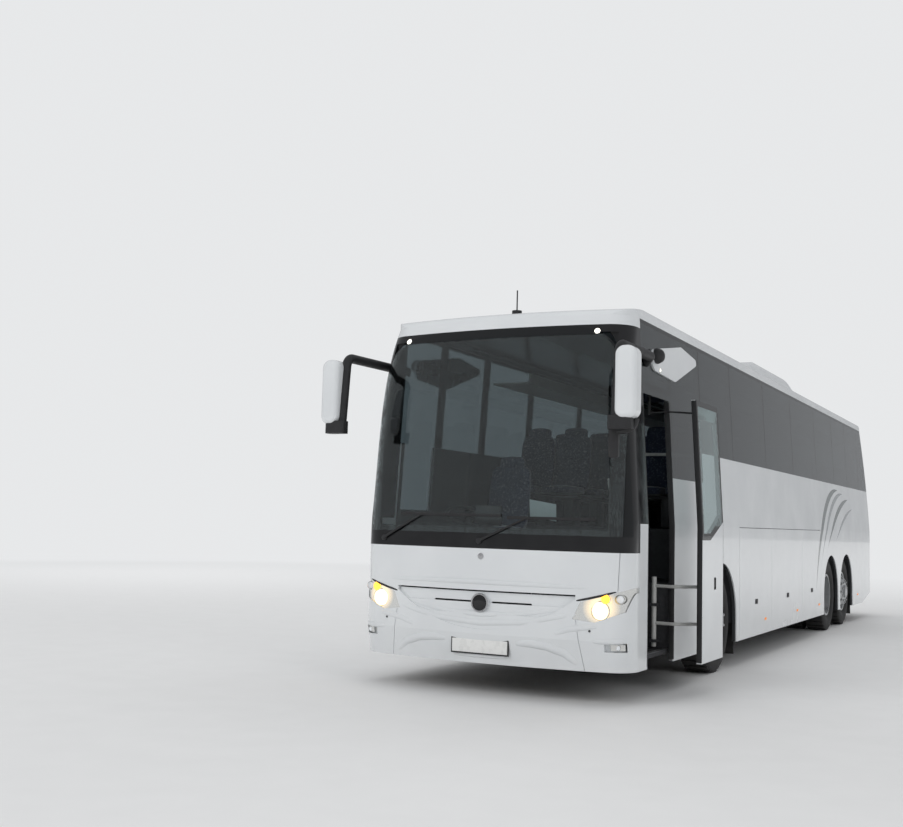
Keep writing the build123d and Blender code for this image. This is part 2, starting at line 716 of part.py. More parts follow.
# Chassis: front and rear rails, with low rails under the luggage bay between them
cross_members = (
    (330, 600),
    (2250, 600),
    (3600, 600),
    (8330, 660),
    (9780, 660),
    (10780, 660),
    (12700, 660),
)
with BuildPart() as chassis_frame:
    for across in both_sides(RAIL_X - 40, RAIL_X + 40):
        box(across, (330, BAY_START), (600, 720))
        box(across, (BAY_START - 60, BAY_START), (280, 720))
        box(across, (BAY_START - 60, BAY_END + 60), (280, 300))
        box(across, (BAY_END, BAY_END + 60), (280, 800))
        box(across, (BAY_END, 12760), (660, 800))
    for station, z in cross_members:
        box((-RAIL_X, RAIL_X), (station, station + 60), (z + 20, z + 100))
save(chassis_frame.part, "chassis_frame")


def tyre_solid(x, axle):
    """One tyre, from bead to bead over a flat tread, mirrored about its middle plane."""
    half_bead, half_tread, half = BEAD_WIDTH / 2, TREAD_WIDTH / 2, TYRE_WIDTH / 2
    flank = (
        (0, BEAD_RADIUS),
        (half_bead, BEAD_RADIUS),
        (half_bead + 4, RIM_FLANGE + 2),
        (half, 0.6 * BEAD_RADIUS + 0.4 * TYRE_RADIUS),
        (half, 0.3 * BEAD_RADIUS + 0.7 * TYRE_RADIUS),
        (half_tread + 8, TYRE_RADIUS - SHOULDER),
        (half_tread - 10, TYRE_RADIUS),
        (0, TYRE_RADIUS),
    )
    with BuildPart() as tyre:
        with BuildSketch(wheel_plane(x, axle)):
            with BuildLine():
                Polyline(flank)
                mirror(about=Plane.YZ)
            make_face()
        revolve(axis=wheel_axis(axle), revolution_arc=360)
    return tyre.part


def rim_solid(x, axle, face):
    """One rim, with its disc on the side that face points to, +1 or -1 along X."""
    half_bead = BEAD_WIDTH / 2
    lip = half_bead + 18
    barrel = BEAD_RADIUS - RIM_WALL
    disc = DISC_OFFSET
    hub_edge = 60
    profile = (
        (-lip, barrel),
        (-lip, RIM_FLANGE),
        (-lip + 12, RIM_FLANGE),
        (-half_bead, BEAD_RADIUS),
        (half_bead, BEAD_RADIUS),
        (lip - 12, RIM_FLANGE),
        (lip, RIM_FLANGE),
        (lip, barrel),
        (76, barrel),
        (disc, 196),
        (disc, hub_edge),
        (disc - DISC_THICK, hub_edge),
        (disc - DISC_THICK, 188),
        (54, barrel),
    )
    with BuildPart() as rim:
        with BuildSketch(wheel_plane(x, axle)):
            with BuildLine():
                Polyline([(face * u, r) for u, r in profile], close=True)
            make_face()
        revolve(axis=wheel_axis(axle), revolution_arc=360)
        with BuildSketch(Plane.YZ.offset(x)):
            with Locations((y_at(axle), AXLE_Z)):
                with PolarLocations(HAND_HOLE_CIRCLE, HAND_HOLES):
                    Circle(HAND_HOLE_RADIUS)
        extrude(amount=face * 200, mode=Mode.SUBTRACT)
    return rim.part


# Wheels: name, axle, tyre centres with the side each disc faces, hub span, bore end
wheels = (
    ("front_wheel", FRONT_AXLE, ((SINGLE_X, 1),), SINGLE_SPAN, 1190),
    ("drive_wheel", DRIVE_AXLE, ((TWIN_OUTER_X, -1), (TWIN_INNER_X, 1)), TWIN_SPAN, 1075),
    ("tag_wheel", TAG_AXLE, ((SINGLE_X, 1),), SINGLE_SPAN, 1190),
)
for name, axle, discs, hub_span, bore_end in wheels:
    for side, sign in (("left", -1), ("right", 1)):
        with BuildPart() as tyres:
            for x, face in discs:
                add(tyre_solid(sign * x, axle))
        save(tyres.part, f"{name}_tyre_{side}")
        with BuildPart() as rims:
            for x, face in discs:
                add(rim_solid(sign * x, axle, sign * face))
            cylinder_x((sign * hub_span[0], sign * hub_span[1]), axle, HUB_RADIUS)
            bore = (sign * hub_span[0], sign * bore_end)
            cylinder_x(bore, axle, SPINDLE_RADIUS + RUNNING_FIT, Mode.SUBTRACT)
        save(rims.part, f"{name}_rim_{side}")

# Front axle beam, with an eye for each kingpin
half_beam = [
    (0, BEAM_BASE_Z),
    (640, BEAM_BASE_Z),
    (800, 480),
    (KINGPIN_X, 480),
    (KINGPIN_X, 564),
    (780, 564),
    (620, BEAM_TOP_Z),
    (0, BEAM_TOP_Z),
]
with BuildPart() as front_axle:
    add(front_prism(half_beam, (FRONT_AXLE - 45, FRONT_AXLE + 45)))
    with Locations((RAIL_X, y_at(FRONT_AXLE), 545)):
        Cylinder(SPRING_RADIUS, 110)
    mirror(about=Plane.YZ)
    for side in (-1, 1):
        with Locations((side * KINGPIN_X, y_at(FRONT_AXLE), AXLE_Z)):
            Cylinder(EYE_RADIUS, 2 * EYE_HALF)
            Cylinder(KINGPIN_RADIUS + RUNNING_FIT, 2 * EYE_HALF, mode=Mode.SUBTRACT)
save(front_axle.part, "front_axle")

# Steering knuckles: a fork with its kingpin, the spindle and the steering arm
FORK_REACH = EYE_HALF + GAP + LUG
STEER_ARM_Z = AXLE_Z - FORK_REACH
ROD_Z = STEER_ARM_Z - 30
for side, sign in (("left", -1), ("right", 1)):
    x = sign * KINGPIN_X
    web_near, web_far = EYE_RADIUS + 8, EYE_RADIUS + 28
    web = sorted((x + sign * web_near, x + sign * web_far))
    fork = sorted((x - sign * 30, x + sign * web_far))
    with BuildPart() as knuckle:
        for z in (AXLE_Z + EYE_HALF + GAP, STEER_ARM_Z):
            box(fork, (FRONT_AXLE - 36, FRONT_AXLE + 36), (z, z + LUG))
        box(web, (FRONT_AXLE - 70, FRONT_AXLE + 70), (AXLE_Z - FORK_REACH, AXLE_Z + FORK_REACH))
        with Locations((x, y_at(FRONT_AXLE), AXLE_Z)):
            Cylinder(KINGPIN_RADIUS, 2 * FORK_REACH)
        cylinder_x((x + sign * web_near, sign * 1180), FRONT_AXLE, SPINDLE_RADIUS)
        arm = sorted((x - sign * 26, x + sign * 14))
        box(arm, (FRONT_AXLE, FRONT_AXLE + STEER_ARM), (STEER_ARM_Z, STEER_ARM_Z + 26))
        with Locations((x, y_at(FRONT_AXLE + STEER_ARM), STEER_ARM_Z + 13)):
            Cylinder(24, 26)
        with Locations((x, y_at(FRONT_AXLE + STEER_ARM), STEER_ARM_Z - 25)):
            Cylinder(9, 50)
    save(knuckle.part, f"knuckle_{side}")

# Track rod between the steering arms
with BuildPart() as track_rod:
    cylinder_x((-KINGPIN_X + 16, KINGPIN_X - 16), FRONT_AXLE + STEER_ARM, 16, z=ROD_Z)
    for side in (-1, 1):
        with Locations((side * KINGPIN_X, y_at(FRONT_AXLE + STEER_ARM), ROD_Z)):
            Cylinder(24, 40)
            Cylinder(9 + RUNNING_FIT, 40, mode=Mode.SUBTRACT)
save(track_rod.part, "track_rod")

# Drive axle with its final drive, and the tag axle
half_tag = [
    (0, BEAM_BASE_Z),
    (640, BEAM_BASE_Z),
    (860, 480),
    (860, 564),
    (620, BEAM_TOP_Z),
    (0, BEAM_TOP_Z),
]
with BuildPart() as rear_axles:
    add(front_prism(half_tag, (TAG_AXLE - 50, TAG_AXLE + 50)))
    cylinder_x((840, 1180), TAG_AXLE, SPINDLE_RADIUS)
    for axle in (DRIVE_AXLE, TAG_AXLE):
        with Locations((RAIL_X, y_at(axle), 570)):
            Cylinder(SPRING_RADIUS, 180)
    mirror(about=Plane.YZ)
    cylinder_x((-700, 700), DRIVE_AXLE, 75)
    cylinder_x((-1060, 1060), DRIVE_AXLE, SPINDLE_RADIUS)
    with Locations(Location((0, y_at(DRIVE_AXLE), AXLE_Z), (90, 0, 0))):
        Cylinder(200, FINAL_DRIVE)
save(rear_axles.part, "rear_axles")

# Entrance door: the column and its two curved arms, turned out to where the door stands open
closed_x = ARM_REACH * cos(radians(ARM_SWING)) + ARM_TRAVEL * sin(radians(ARM_SWING))
closed_travel = -ARM_REACH * sin(radians(ARM_SWING)) + ARM_TRAVEL * cos(radians(ARM_SWING))
DOOR_OUT = ARM_REACH - closed_x
DOOR_BACK = ARM_TRAVEL - closed_travel
EYE = 20
PIN = 8


def door_arm_tube(x, z, radius):
    """A curved arm from a column out of the doorway and back to the door's pin."""
    out = (x, y_at(COLUMN_STATION), z)
    bend = (x + 212, y_at(COLUMN_STATION - 14), z)
    end = (x + ARM_REACH, y_at(COLUMN_STATION + ARM_TRAVEL), z)
    with BuildPart() as tube:
        with BuildLine() as path:
            FilletPolyline(out, bend, end, radius=90)
        with BuildSketch(Plane(origin=path.line @ 0, z_dir=path.line % 0)):
            Circle(radius)
        sweep(path=path.line)
        with Locations(end):
            Cylinder(EYE, 2 * radius + 10)
            Cylinder(PIN + RUNNING_FIT, 2 * radius + 10, mode=Mode.SUBTRACT)
    return tube.part


def pin_fork(x, z, radius):
    """Two lugs and a pin on the door's inner face, around an arm's eye."""
    station = COLUMN_STATION + ARM_TRAVEL
    half_gap = radius + 5 + GAP
    face = half_width(z) - WALL + DOOR_OUT
    with BuildPart() as fork:
        for side in (-1, 1):
            lug_z = sorted((z + side * half_gap, z + side * (half_gap + 8)))
            box((x - EYE, face + 5), (station - EYE, station + EYE), lug_z)
        with Locations((x, y_at(station), z)):
            Cylinder(PIN, 2 * half_gap + 16)
    return fork.part


with BuildPart() as door_arm:
    with Locations((COLUMN_X, y_at(COLUMN_STATION), 700)):
        Cylinder(COLUMN_RADIUS, 620)
    for z in ARM_LEVELS:
        add(door_arm_tube(COLUMN_X, z, ARM_RADIUS))
save(door_arm.part, "door_arm")

upper_column_z = (UPPER_ARM_Z - 20, DOOR_TOP_Z + 35)
with BuildPart() as door_upper_arm:
    with Locations((UPPER_COLUMN_X, y_at(COLUMN_STATION), sum(upper_column_z) / 2)):
        Cylinder(UPPER_COLUMN_RADIUS, upper_column_z[1] - upper_column_z[0])
    add(door_arm_tube(UPPER_COLUMN_X, UPPER_ARM_Z, UPPER_ARM_RADIUS))
save(door_upper_arm.part, "door_upper_arm")

# The door leaf, cut from the body's own skin and moved out and back
leaf = (DOOR_START + GAP, DOOR_START + GAP + LEAF_WIDTH)
leaf_top = DOOR_TOP_Z - GAP
open_door = Location((DOOR_OUT, DOOR_BACK, 0))
leaf_bend = leaf[0] + 0.38 * LEAF_WIDTH
glass_outline = [
    (leaf[0], LEAF_GLASS_Z),
    (leaf_bend, LEAF_GLASS_Z),
    (leaf[1], LEAF_GLASS_REAR_Z),
    (leaf[1], leaf_top),
    (leaf[0], leaf_top),
]
window_outline = [
    (leaf[0] + LEAF_RIM, LEAF_GLASS_Z + LEAF_RIM),
    (leaf_bend, LEAF_GLASS_Z + LEAF_RIM),
    (leaf[1] - LEAF_RIM, LEAF_GLASS_REAR_Z + LEAF_RIM),
    (leaf[1] - LEAF_RIM, leaf_top - 160),
    (leaf[0] + LEAF_RIM, leaf_top - 160),
]
with BuildPart() as closed_glass:
    add(skin(LOWER, LOWER_GLASS, RIGHT, leaf, (LEAF_GLASS_Z, WAIST_Z)))
    add(skin(UPPER, UPPER_GLASS, RIGHT, leaf, (WAIST_Z, leaf_top)))
    add(side_prism(glass_outline, RIGHT), mode=Mode.INTERSECT)
with BuildPart() as closed_leaf:
    add(skin(LOWER, LOWER_IN, RIGHT, leaf, (SKIRT_Z + GAP, WAIST_Z)))
    add(skin(UPPER, UPPER_IN, RIGHT, leaf, (WAIST_Z, leaf_top)))
    add(closed_glass.part, mode=Mode.SUBTRACT)
    add(side_prism(window_outline, RIGHT), mode=Mode.SUBTRACT)
    handle = ((HANDLE_START, HANDLE_START + HANDLE_WIDTH), (HANDLE_Z, HANDLE_Z + HANDLE_HEIGHT))
    add(skin(LOWER, LOWER_STEP, RIGHT, *handle), mode=Mode.SUBTRACT)
with BuildPart() as entrance_door:
    add(open_door * closed_leaf.part)
    for z in ARM_LEVELS:
        add(pin_fork(COLUMN_X + ARM_REACH, z, ARM_RADIUS))
    add(pin_fork(UPPER_COLUMN_X + ARM_REACH, UPPER_ARM_Z, UPPER_ARM_RADIUS))
save(entrance_door.part, "entrance_door")
save(open_door * closed_glass.part, "door_glass")

# Dashboard, shaped to the nose, with the binnacle
with BuildPart() as dashboard:
    box((-1150, 1150), (0, 540), (CAB_FLOOR_Z, 1400))
    add(lower_form(WALL + 15), mode=Mode.INTERSECT)
    box((-1000, -280), (500, 780), (1080, 1440))
    box((DRIVER_X - 70, DRIVER_X + 70), (780, 980), (1130, 1320))
save(dashboard.part, "dashboard")

# Steering wheel on its column
wheel_tilt = Plane(origin=(DRIVER_X, y_at(1050), 1500), x_dir=(1, 0, 0), z_dir=(0, 0.42, 0.9))
with BuildPart() as steering_wheel:
    with BuildSketch(Plane(wheel_tilt.origin, x_dir=wheel_tilt.x_dir, z_dir=wheel_tilt.y_dir)):
        with Locations((225, 0)):
            Circle(15)
    revolve(axis=Axis(wheel_tilt.origin, wheel_tilt.z_dir), revolution_arc=360)
    with BuildSketch(wheel_tilt.offset(-12)):
        Rectangle(440, 40)
        Circle(60)
    extrude(amount=24)
    with BuildSketch(wheel_tilt):
        Circle(32)
    extrude(amount=-420)
    add(dashboard.part, mode=Mode.SUBTRACT)
save(steering_wheel.part, "steering_wheel")


def seat_solid(across, station, floor_z, seat_z, top_z, pedestal):
    """A seat facing the nose: cushion, raked back and the pedestal under them."""
    profile = [
        (station, seat_z - 110),
        (station, seat_z),
        (station + 420, seat_z - 20),
        (station + 540, top_z),
        (station + 640, top_z),
        (station + 530, seat_z - 110),
    ]
    with BuildPart() as seat:
        with BuildSketch(Plane.YZ.offset(across[0])) as side_view:
            with BuildLine():
                Polyline([(y_at(s), z) for s, z in profile], close=True)
            make_face()
            fillet(side_view.vertices().group_by(Axis.Y)[-1], radius=SEAT_ROUND)
        extrude(amount=across[1] - across[0])
        middle = sum(across) / 2
        box((middle - pedestal, middle + pedestal), (station + 150, station + 400), (floor_z, seat_z - 110))
    return seat.part


driver_seat = seat_solid((DRIVER_X - 240, DRIVER_X + 240), 1380, CAB_FLOOR_Z, 1440, 2160, 130)
save(driver_seat, "driver_seat")

# Passenger seats in pairs on both sides of the aisle
with BuildPart() as passenger_seats:
    pairs = []
    for row in range(SEAT_ROWS):
        station = FIRST_SEAT + row * SEAT_PITCH
        for across in ((-SEAT_OUTER, -AISLE_HALF), (AISLE_HALF, SEAT_OUTER)):
            pairs.append(seat_solid(across, station, FLOOR_Z, FLOOR_Z + 450, FLOOR_Z + 1130, 60))
    add(pairs)
save(passenger_seats.part, "passenger_seats")

# Luggage racks under the roof
with BuildPart() as luggage_racks:
    box((RACK_X, 1200), RACK_SPAN, (RACK_Z, RACK_Z + 20))
    box((RACK_X, RACK_X + 20), RACK_SPAN, (RACK_Z + 20, RACK_Z + 115))
    mirror(about=Plane.YZ)
    add(UPPER_IN, mode=Mode.INTERSECT)
save(luggage_racks.part, "luggage_racks")

# Roof air-conditioning unit, seated on the roof's camber
unit_side = [
    (UNIT_START, HEAD_Z + WALL),
    (UNIT_START, 3400),
    (UNIT_START + 60, UNIT_SHOULDER_Z),
    (UNIT_START + 500, UNIT_TOP_Z),
    (UNIT_END - 700, UNIT_TOP_Z),
    (UNIT_END - 60, UNIT_SHOULDER_Z),
    (UNIT_END, 3400),
    (UNIT_END, HEAD_Z + WALL),
]
with BuildPart() as roof_unit:
    add(side_prism(unit_side, (-UNIT_HALF, UNIT_HALF)))
    fillet(roof_unit.edges().filter_by(Axis.Y).group_by(Axis.Z)[-1], 60)
    add(ROOF, mode=Mode.SUBTRACT)
save(roof_unit.part, "roof_unit")

# Roof antenna
with BuildPart() as antenna:
    with Locations((0, y_at(ANTENNA_STATION), ANTENNA_Z + 10)):
        Cylinder(45, 60)
    with Locations((0, y_at(ANTENNA_STATION), ANTENNA_Z + 120)):
        Cylinder(6, 220)
    add(ROOF, mode=Mode.SUBTRACT)
save(antenna.part, "antenna")

# Mirror arms: black tubes from the roof edge forward and down behind each shell, with a foot
arm_path = ((1180, 760, 2880), (1290, 560, 2905), (1290, -200, 2900), (1290, -260, 2230))
with BuildPart() as mirror_arms:
    with BuildLine() as arm_line:
        FilletPolyline([(x, y_at(s), z) for x, s, z in arm_path], radius=90)
    with BuildSketch(Plane(origin=arm_line.line @ 0, z_dir=arm_line.line % 0)):
        Circle(MIRROR_ARM_RADIUS)
    sweep(path=arm_line.line)
    with BuildSketch(Plane.XY.offset(MIRROR_FOOT_Z)):
        with Locations((1330, y_at(MIRROR_DEPTH / 2 - MIRROR_REACH))):
            RectangleRounded(200, 115, 40)
    extrude(amount=MIRROR_BASE_Z - MIRROR_FOOT_Z + 30)
    add(UPPER, mode=Mode.SUBTRACT)
    mirror(about=Plane.YZ)
save(mirror_arms.part, "mirror_arms")

# Mirror shells, and the fairing at the root of each arm, round these circles: station, height, radius
fairing_rounds = ((960, 2930, 100), (1500, 2930, 130), (1750, 3050, 110), (2200, 3070, 35))
with BuildPart() as mirror_fairings:
    with BuildSketch(Plane.YZ):
        with BuildLine():
            for station, z, radius in fairing_rounds:
                CenterArc((y_at(station), z), radius, 0, 360)
        make_hull()
    extrude(amount=WIDTH)
    add(UPPER_PROUD, mode=Mode.INTERSECT)
    add(UPPER, mode=Mode.SUBTRACT)
with BuildPart() as mirror_shells:
    with BuildSketch(Plane.XZ.offset(-y_at(MIRROR_DEPTH - MIRROR_REACH))):
        with Locations((MIRROR_X, (MIRROR_BASE_Z + MIRROR_TOP_Z) / 2)):
            RectangleRounded(MIRROR_WIDTH, MIRROR_TOP_Z - MIRROR_BASE_Z, 75)
    extrude(amount=MIRROR_DEPTH)
    fillet(mirror_shells.faces().sort_by(Axis.Y)[0].edges(), 50)
    add(mirror_fairings.part)
    add(mirror_arms.part, mode=Mode.SUBTRACT)
    mirror(about=Plane.YZ)
save(mirror_shells.part, "mirror_shells")

# Wipers lying along the foot of the windscreen
with BuildPart() as wipers:
    for across, z in (((-830, 180), 1505), ((240, 1000), 1490)):
        add(skin(UPPER_PROUD, UPPER, across, (-100, 150), (z, z + WIPER_WIDTH)))
save(wipers.part, "wipers")

# Towing eyes on the front and rear cross members: the plate's stations, its pin's station and height
tow_plates = (((180, 330), 240, 635), ((12760, 12920), 12860, 695))
with BuildPart() as tow_eyes:
    for stations, pin_station, z in tow_plates:
        box((-60, 60), stations, (z, z + TOW_PLATE))
        with Locations((0, y_at(pin_station), z + TOW_PLATE / 2)):
            Cylinder(TOW_PIN_RADIUS, TOW_PLATE, mode=Mode.SUBTRACT)
save(tow_eyes.part, "tow_eyes")
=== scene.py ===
"""A white three-axle touring coach, seen from the front with its entrance door open."""

import json
from math import atan2, cos, pi, radians, sin

import bmesh
import bpy
from mathutils import Matrix, Vector


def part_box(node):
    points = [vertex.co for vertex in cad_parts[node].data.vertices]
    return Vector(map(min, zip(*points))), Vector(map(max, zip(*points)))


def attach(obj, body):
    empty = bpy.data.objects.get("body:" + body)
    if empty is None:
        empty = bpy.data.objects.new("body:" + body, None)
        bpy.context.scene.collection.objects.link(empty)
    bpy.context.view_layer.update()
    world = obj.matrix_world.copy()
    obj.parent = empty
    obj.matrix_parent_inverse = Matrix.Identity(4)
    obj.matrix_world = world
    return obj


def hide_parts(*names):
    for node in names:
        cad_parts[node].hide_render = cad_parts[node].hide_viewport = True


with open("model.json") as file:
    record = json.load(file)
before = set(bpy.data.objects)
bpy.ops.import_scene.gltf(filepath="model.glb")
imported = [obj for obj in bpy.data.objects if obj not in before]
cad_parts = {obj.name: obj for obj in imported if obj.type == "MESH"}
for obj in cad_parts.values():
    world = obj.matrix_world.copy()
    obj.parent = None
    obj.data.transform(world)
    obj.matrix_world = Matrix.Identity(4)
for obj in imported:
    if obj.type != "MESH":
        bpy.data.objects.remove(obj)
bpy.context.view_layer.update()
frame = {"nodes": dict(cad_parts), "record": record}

NODES = frame["nodes"]

# Places in metres: the nose faces -Y, the door is on +X, a station is a distance behind the nose
NOSE_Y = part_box("windscreen_frame")[0][1]
NOSE = Vector((0, NOSE_Y, 0))
TAIL_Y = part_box("engine_lid")[1][1]
BODY_HALF, ROOF_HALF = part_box("lower_panels")[1][0], 1.168
WAIST_Z, ROOF_Z = 1.478, 3.36
SCREEN_TOP_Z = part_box("windscreen")[1][2]
CABIN_FLOOR_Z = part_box("passenger_seats")[0][2]
DIVIDERS = (2.360, 3.560, 5.110, 6.660, 8.260, 9.660, 10.860, 12.060)
FLAP_EDGES = (3.680, 5.230, 7.010, 8.330)
SIDES = (("left", -1), ("right", 1))
FORWARD, BACKWARD, UPWARD = Vector((0, -1, 0)), Vector((0, 1, 0)), Vector((0, 0, 1))
FRONT_NODES = ("front_bumper", "front_mask", "grille", "headlamps")
SCREEN_NODES = ("windscreen", "windscreen_frame", "front_visor")


def y_at(station):
    """The Y of a station."""
    return NOSE_Y + station


def half_width(z):
    """Half the body's width at a height: the sides lean inwards over the waist."""
    return BODY_HALF - max(0, z - WAIST_Z) * (BODY_HALF - ROOF_HALF) / (ROOF_Z - WAIST_Z)


def meets(node, origin, direction):
    """Where a line from a point outside first meets a CAD node, and the surface's normal there."""
    found, spot, normal, _ = NODES[node].ray_cast(Vector(origin), Vector(direction))
    if not found:
        raise ValueError(f"nothing of {node} on the line from {tuple(origin)}")
    return spot, normal


def side_of(node, sign, station, z):
    """The point of a node's side at a station and height, with its normal."""
    return meets(node, (sign * 3, y_at(station), z), (-sign, 0, 0))


def rear_of(node, x, z):
    """The point of a node's rear face at a place across and in height, with its normal."""
    return meets(node, (x, 8, z), FORWARD)


def front_of(nodes, x, z):
    """The foremost point of some nodes' fronts at a place across and in height, with its normal."""
    hits = [NODES[node].ray_cast(Vector((x, NOSE_Y - 1, z)), BACKWARD) for node in nodes]
    return min(((spot, normal) for found, spot, normal, _ in hits if found), key=lambda hit: hit[0].y)


# Operators on pieces


def deselect():
    """Leaves edit mode with nothing selected."""
    if bpy.context.object and bpy.context.object.mode != "OBJECT":
        bpy.ops.object.mode_set(mode="OBJECT")
    bpy.ops.object.select_all(action="DESELECT")


def pick(*pieces):
    """Selects these pieces alone, with the first one active."""
    deselect()
    for piece in pieces:
        piece.select_set(True)
    bpy.context.view_layer.objects.active = pieces[0]


def named(name):
    """The active piece with its name, its place put into its mesh and its object at the origin."""
    piece = bpy.context.object
    piece.name = piece.data.name = name
    pick(piece)
    bpy.ops.object.transform_apply(location=True, rotation=True, scale=True)
    return piece


def block(name, low, high, spot=(0, 0, 0)):
    """A block between two corners measured from a spot, as the start of a piece."""
    deselect()
    low, high = Vector(low) + Vector(spot), Vector(high) + Vector(spot)
    bpy.ops.mesh.primitive_cube_add(size=1, location=(low + high) / 2, scale=high - low)
    return named(name)


def everything(middle, direction):
    """The test that takes all faces or edges."""
    return True


def choose(piece, test=everything, kind="FACE"):
    """Opens a piece in edit mode, with faces or edges chosen by a test of their middle and direction."""
    pick(piece)
    bpy.ops.object.mode_set(mode="EDIT")
    bpy.ops.mesh.select_mode(type=kind)
    bpy.ops.mesh.select_all(action="DESELECT")
    mesh = bmesh.from_edit_mesh(piece.data)
    if kind == "FACE":
        for face in mesh.faces:
            face.select_set(test(face.calc_center_median(), face.normal))
    else:
        for edge in mesh.edges:
            start, end = (vertex.co for vertex in edge.verts)
            edge.select_set(test((start + end) / 2, end - start))
    bmesh.update_edit_mesh(piece.data)


def done():
    """Back to object mode."""
    bpy.ops.object.mode_set(mode="OBJECT")


def edges_along(axis):
    """The test for edges along an axis: 0, 1 or 2."""
    return lambda middle, direction: abs(direction.normalized()[axis]) > 0.9


def rounded(piece, width, segments=3, test=everything):
    """Bevels a piece's edges."""
    choose(piece, test, "EDGE")
    bpy.ops.mesh.bevel(offset=width, segments=segments, affect="EDGES", clamp_overlap=True)
    done()
    return piece


def subdivided(piece, cuts):
    """Cuts a piece's faces into cells."""
    choose(piece)
    bpy.ops.mesh.subdivide(number_cuts=cuts)
    done()
    return piece


def leaned(piece, degrees, axis, pivot):
    """Turns a piece's mesh about an axis through a pivot."""
    choose(piece)
    bpy.ops.transform.rotate(
        value=radians(degrees), orient_axis=axis, orient_type="GLOBAL", center_override=pivot
    )
    done()
    return piece


def turned(name, profile, centre, axis, steps=48):
    """A piece turned about an axis, from its profile's points: distance along the axis and radius."""
    deselect()
    centre, axis = Vector(centre), Vector(axis).normalized()
    out = axis.orthogonal().normalized()
    places = [centre + axis * along + out * radius for along, radius in profile]
    bpy.ops.mesh.primitive_plane_add(size=0.01, location=places[0])
    named(name)
    bpy.ops.object.mode_set(mode="EDIT")
    bpy.ops.mesh.select_mode(type="VERT")
    bpy.ops.mesh.select_all(action="SELECT")
    bpy.ops.mesh.merge(type="CENTER")
    for here, there in zip(places, places[1:]):
        bpy.ops.mesh.extrude_vertices_move(TRANSFORM_OT_translate={"value": there - here})
    bpy.ops.mesh.select_all(action="SELECT")
    bpy.ops.mesh.spin(steps=steps, angle=2 * pi, center=centre, axis=axis)
    bpy.ops.mesh.select_all(action="SELECT")
    bpy.ops.mesh.remove_doubles(threshold=0.00005)
    bpy.ops.mesh.normals_make_consistent(inside=False)
    done()
    return bpy.context.object


def tube(name, points, radius, swell=None):
    """A tube along a smooth line near points, with its thickness at each point if asked."""
    deselect()
    line = bpy.data.curves.new(name, "CURVE")
    line.dimensions = "3D"
    line.bevel_depth = radius
    line.bevel_resolution = 4
    line.use_fill_caps = True
    spline = line.splines.new("NURBS")
    spline.points.add(len(points) - 1)
    for number, (point, spot) in enumerate(zip(spline.points, points)):
        point.co = (*spot, 1)
        point.radius = swell[number] if swell else 1.0
    spline.order_u = 3
    spline.use_endpoint_u = True
    spline.resolution_u = 6
    piece = bpy.data.objects.new(name, line)
    bpy.context.scene.collection.objects.link(piece)
    pick(piece)
    bpy.ops.object.convert(target="MESH")
    return named(name)


def joined(name, pieces):
    """One piece from several."""
    pick(*pieces)
    bpy.ops.object.join()
    return named(name)


def copied(piece, name, offset):
    """A moved copy with its own mesh."""
    pick(piece)
    bpy.ops.object.duplicate(linked=False)
    bpy.context.object.location = offset
    return named(name)


# Parts of materials


def calc(tree, operation, a, b=0.0):
    """A sum in a material: a and b are sockets or numbers."""
    node = tree.nodes.new("ShaderNodeMath")
    node.operation = operation
    for socket, value in zip(node.inputs, (a, b)):
        if isinstance(value, (int, float)):
            socket.default_value = value
        else:
            tree.links.new(value, socket)
    return node.outputs[0]


def product(tree, first, *others):
    """Several sockets or numbers multiplied."""
    for other in others:
        first = calc(tree, "MULTIPLY", first, other)
    return first


def distance(tree, across, up):
    """The distance to a place that lies so far across and up."""
    return calc(tree, "SQRT", calc(tree, "ADD", product(tree, across, across), product(tree, up, up)))


def within(tree, value, low, high):
    """One where a value lies between two numbers, else nought."""
    node = tree.nodes.new("ShaderNodeMath")
    node.operation = "COMPARE"
    tree.links.new(value, node.inputs[0])
    node.inputs[1].default_value = (low + high) / 2
    node.inputs[2].default_value = (high - low) / 2
    return node.outputs[0]


def ramp(tree, value, low, high, start=0.0, end=1.0):
    """A value carried from one range to another, and held at its ends."""
    node = tree.nodes.new("ShaderNodeMapRange")
    tree.links.new(value, node.inputs["Value"])
    for socket, number in zip(("From Min", "From Max", "To Min", "To Max"), (low, high, start, end)):
        node.inputs[socket].default_value = number
    return node.outputs["Result"]


def split(tree, vector):
    """The X, Y and Z of a vector."""
    node = tree.nodes.new("ShaderNodeSeparateXYZ")
    tree.links.new(vector, node.inputs[0])
    return node.outputs


def place(tree):
    """Object coordinates: the vector, and its X, Y and Z."""
    vector = tree.nodes.new("ShaderNodeTexCoord").outputs["Object"]
    return vector, *split(tree, vector)


def grain(tree, vector, scale, detail=4.0):
    """Noise over the surface, from nought to one."""
    noise = tree.nodes.new("ShaderNodeTexNoise")
    noise.inputs["Scale"].default_value = scale
    noise.inputs["Detail"].default_value = detail
    tree.links.new(vector, noise.inputs["Vector"])
    return noise.outputs["Fac"]


def tinted(tree, factor, first, second):
    """A colour between two, which are sockets or colours."""
    node = tree.nodes.new("ShaderNodeMix")
    node.data_type = "RGBA"
    tree.links.new(factor, node.inputs[0])
    for socket, colour in ((node.inputs[6], first), (node.inputs[7], second)):
        if isinstance(colour, tuple):
            socket.default_value = (*colour, 1)
        else:
            tree.links.new(colour, socket)
    return node.outputs[2]


def relief(tree, height, strength, depth=0.002):
    """The normal of a bumpy surface."""
    node = tree.nodes.new("ShaderNodeBump")
    node.inputs["Strength"].default_value = strength
    node.inputs["Distance"].default_value = depth
    tree.links.new(height, node.inputs["Height"])
    return node.outputs["Normal"]


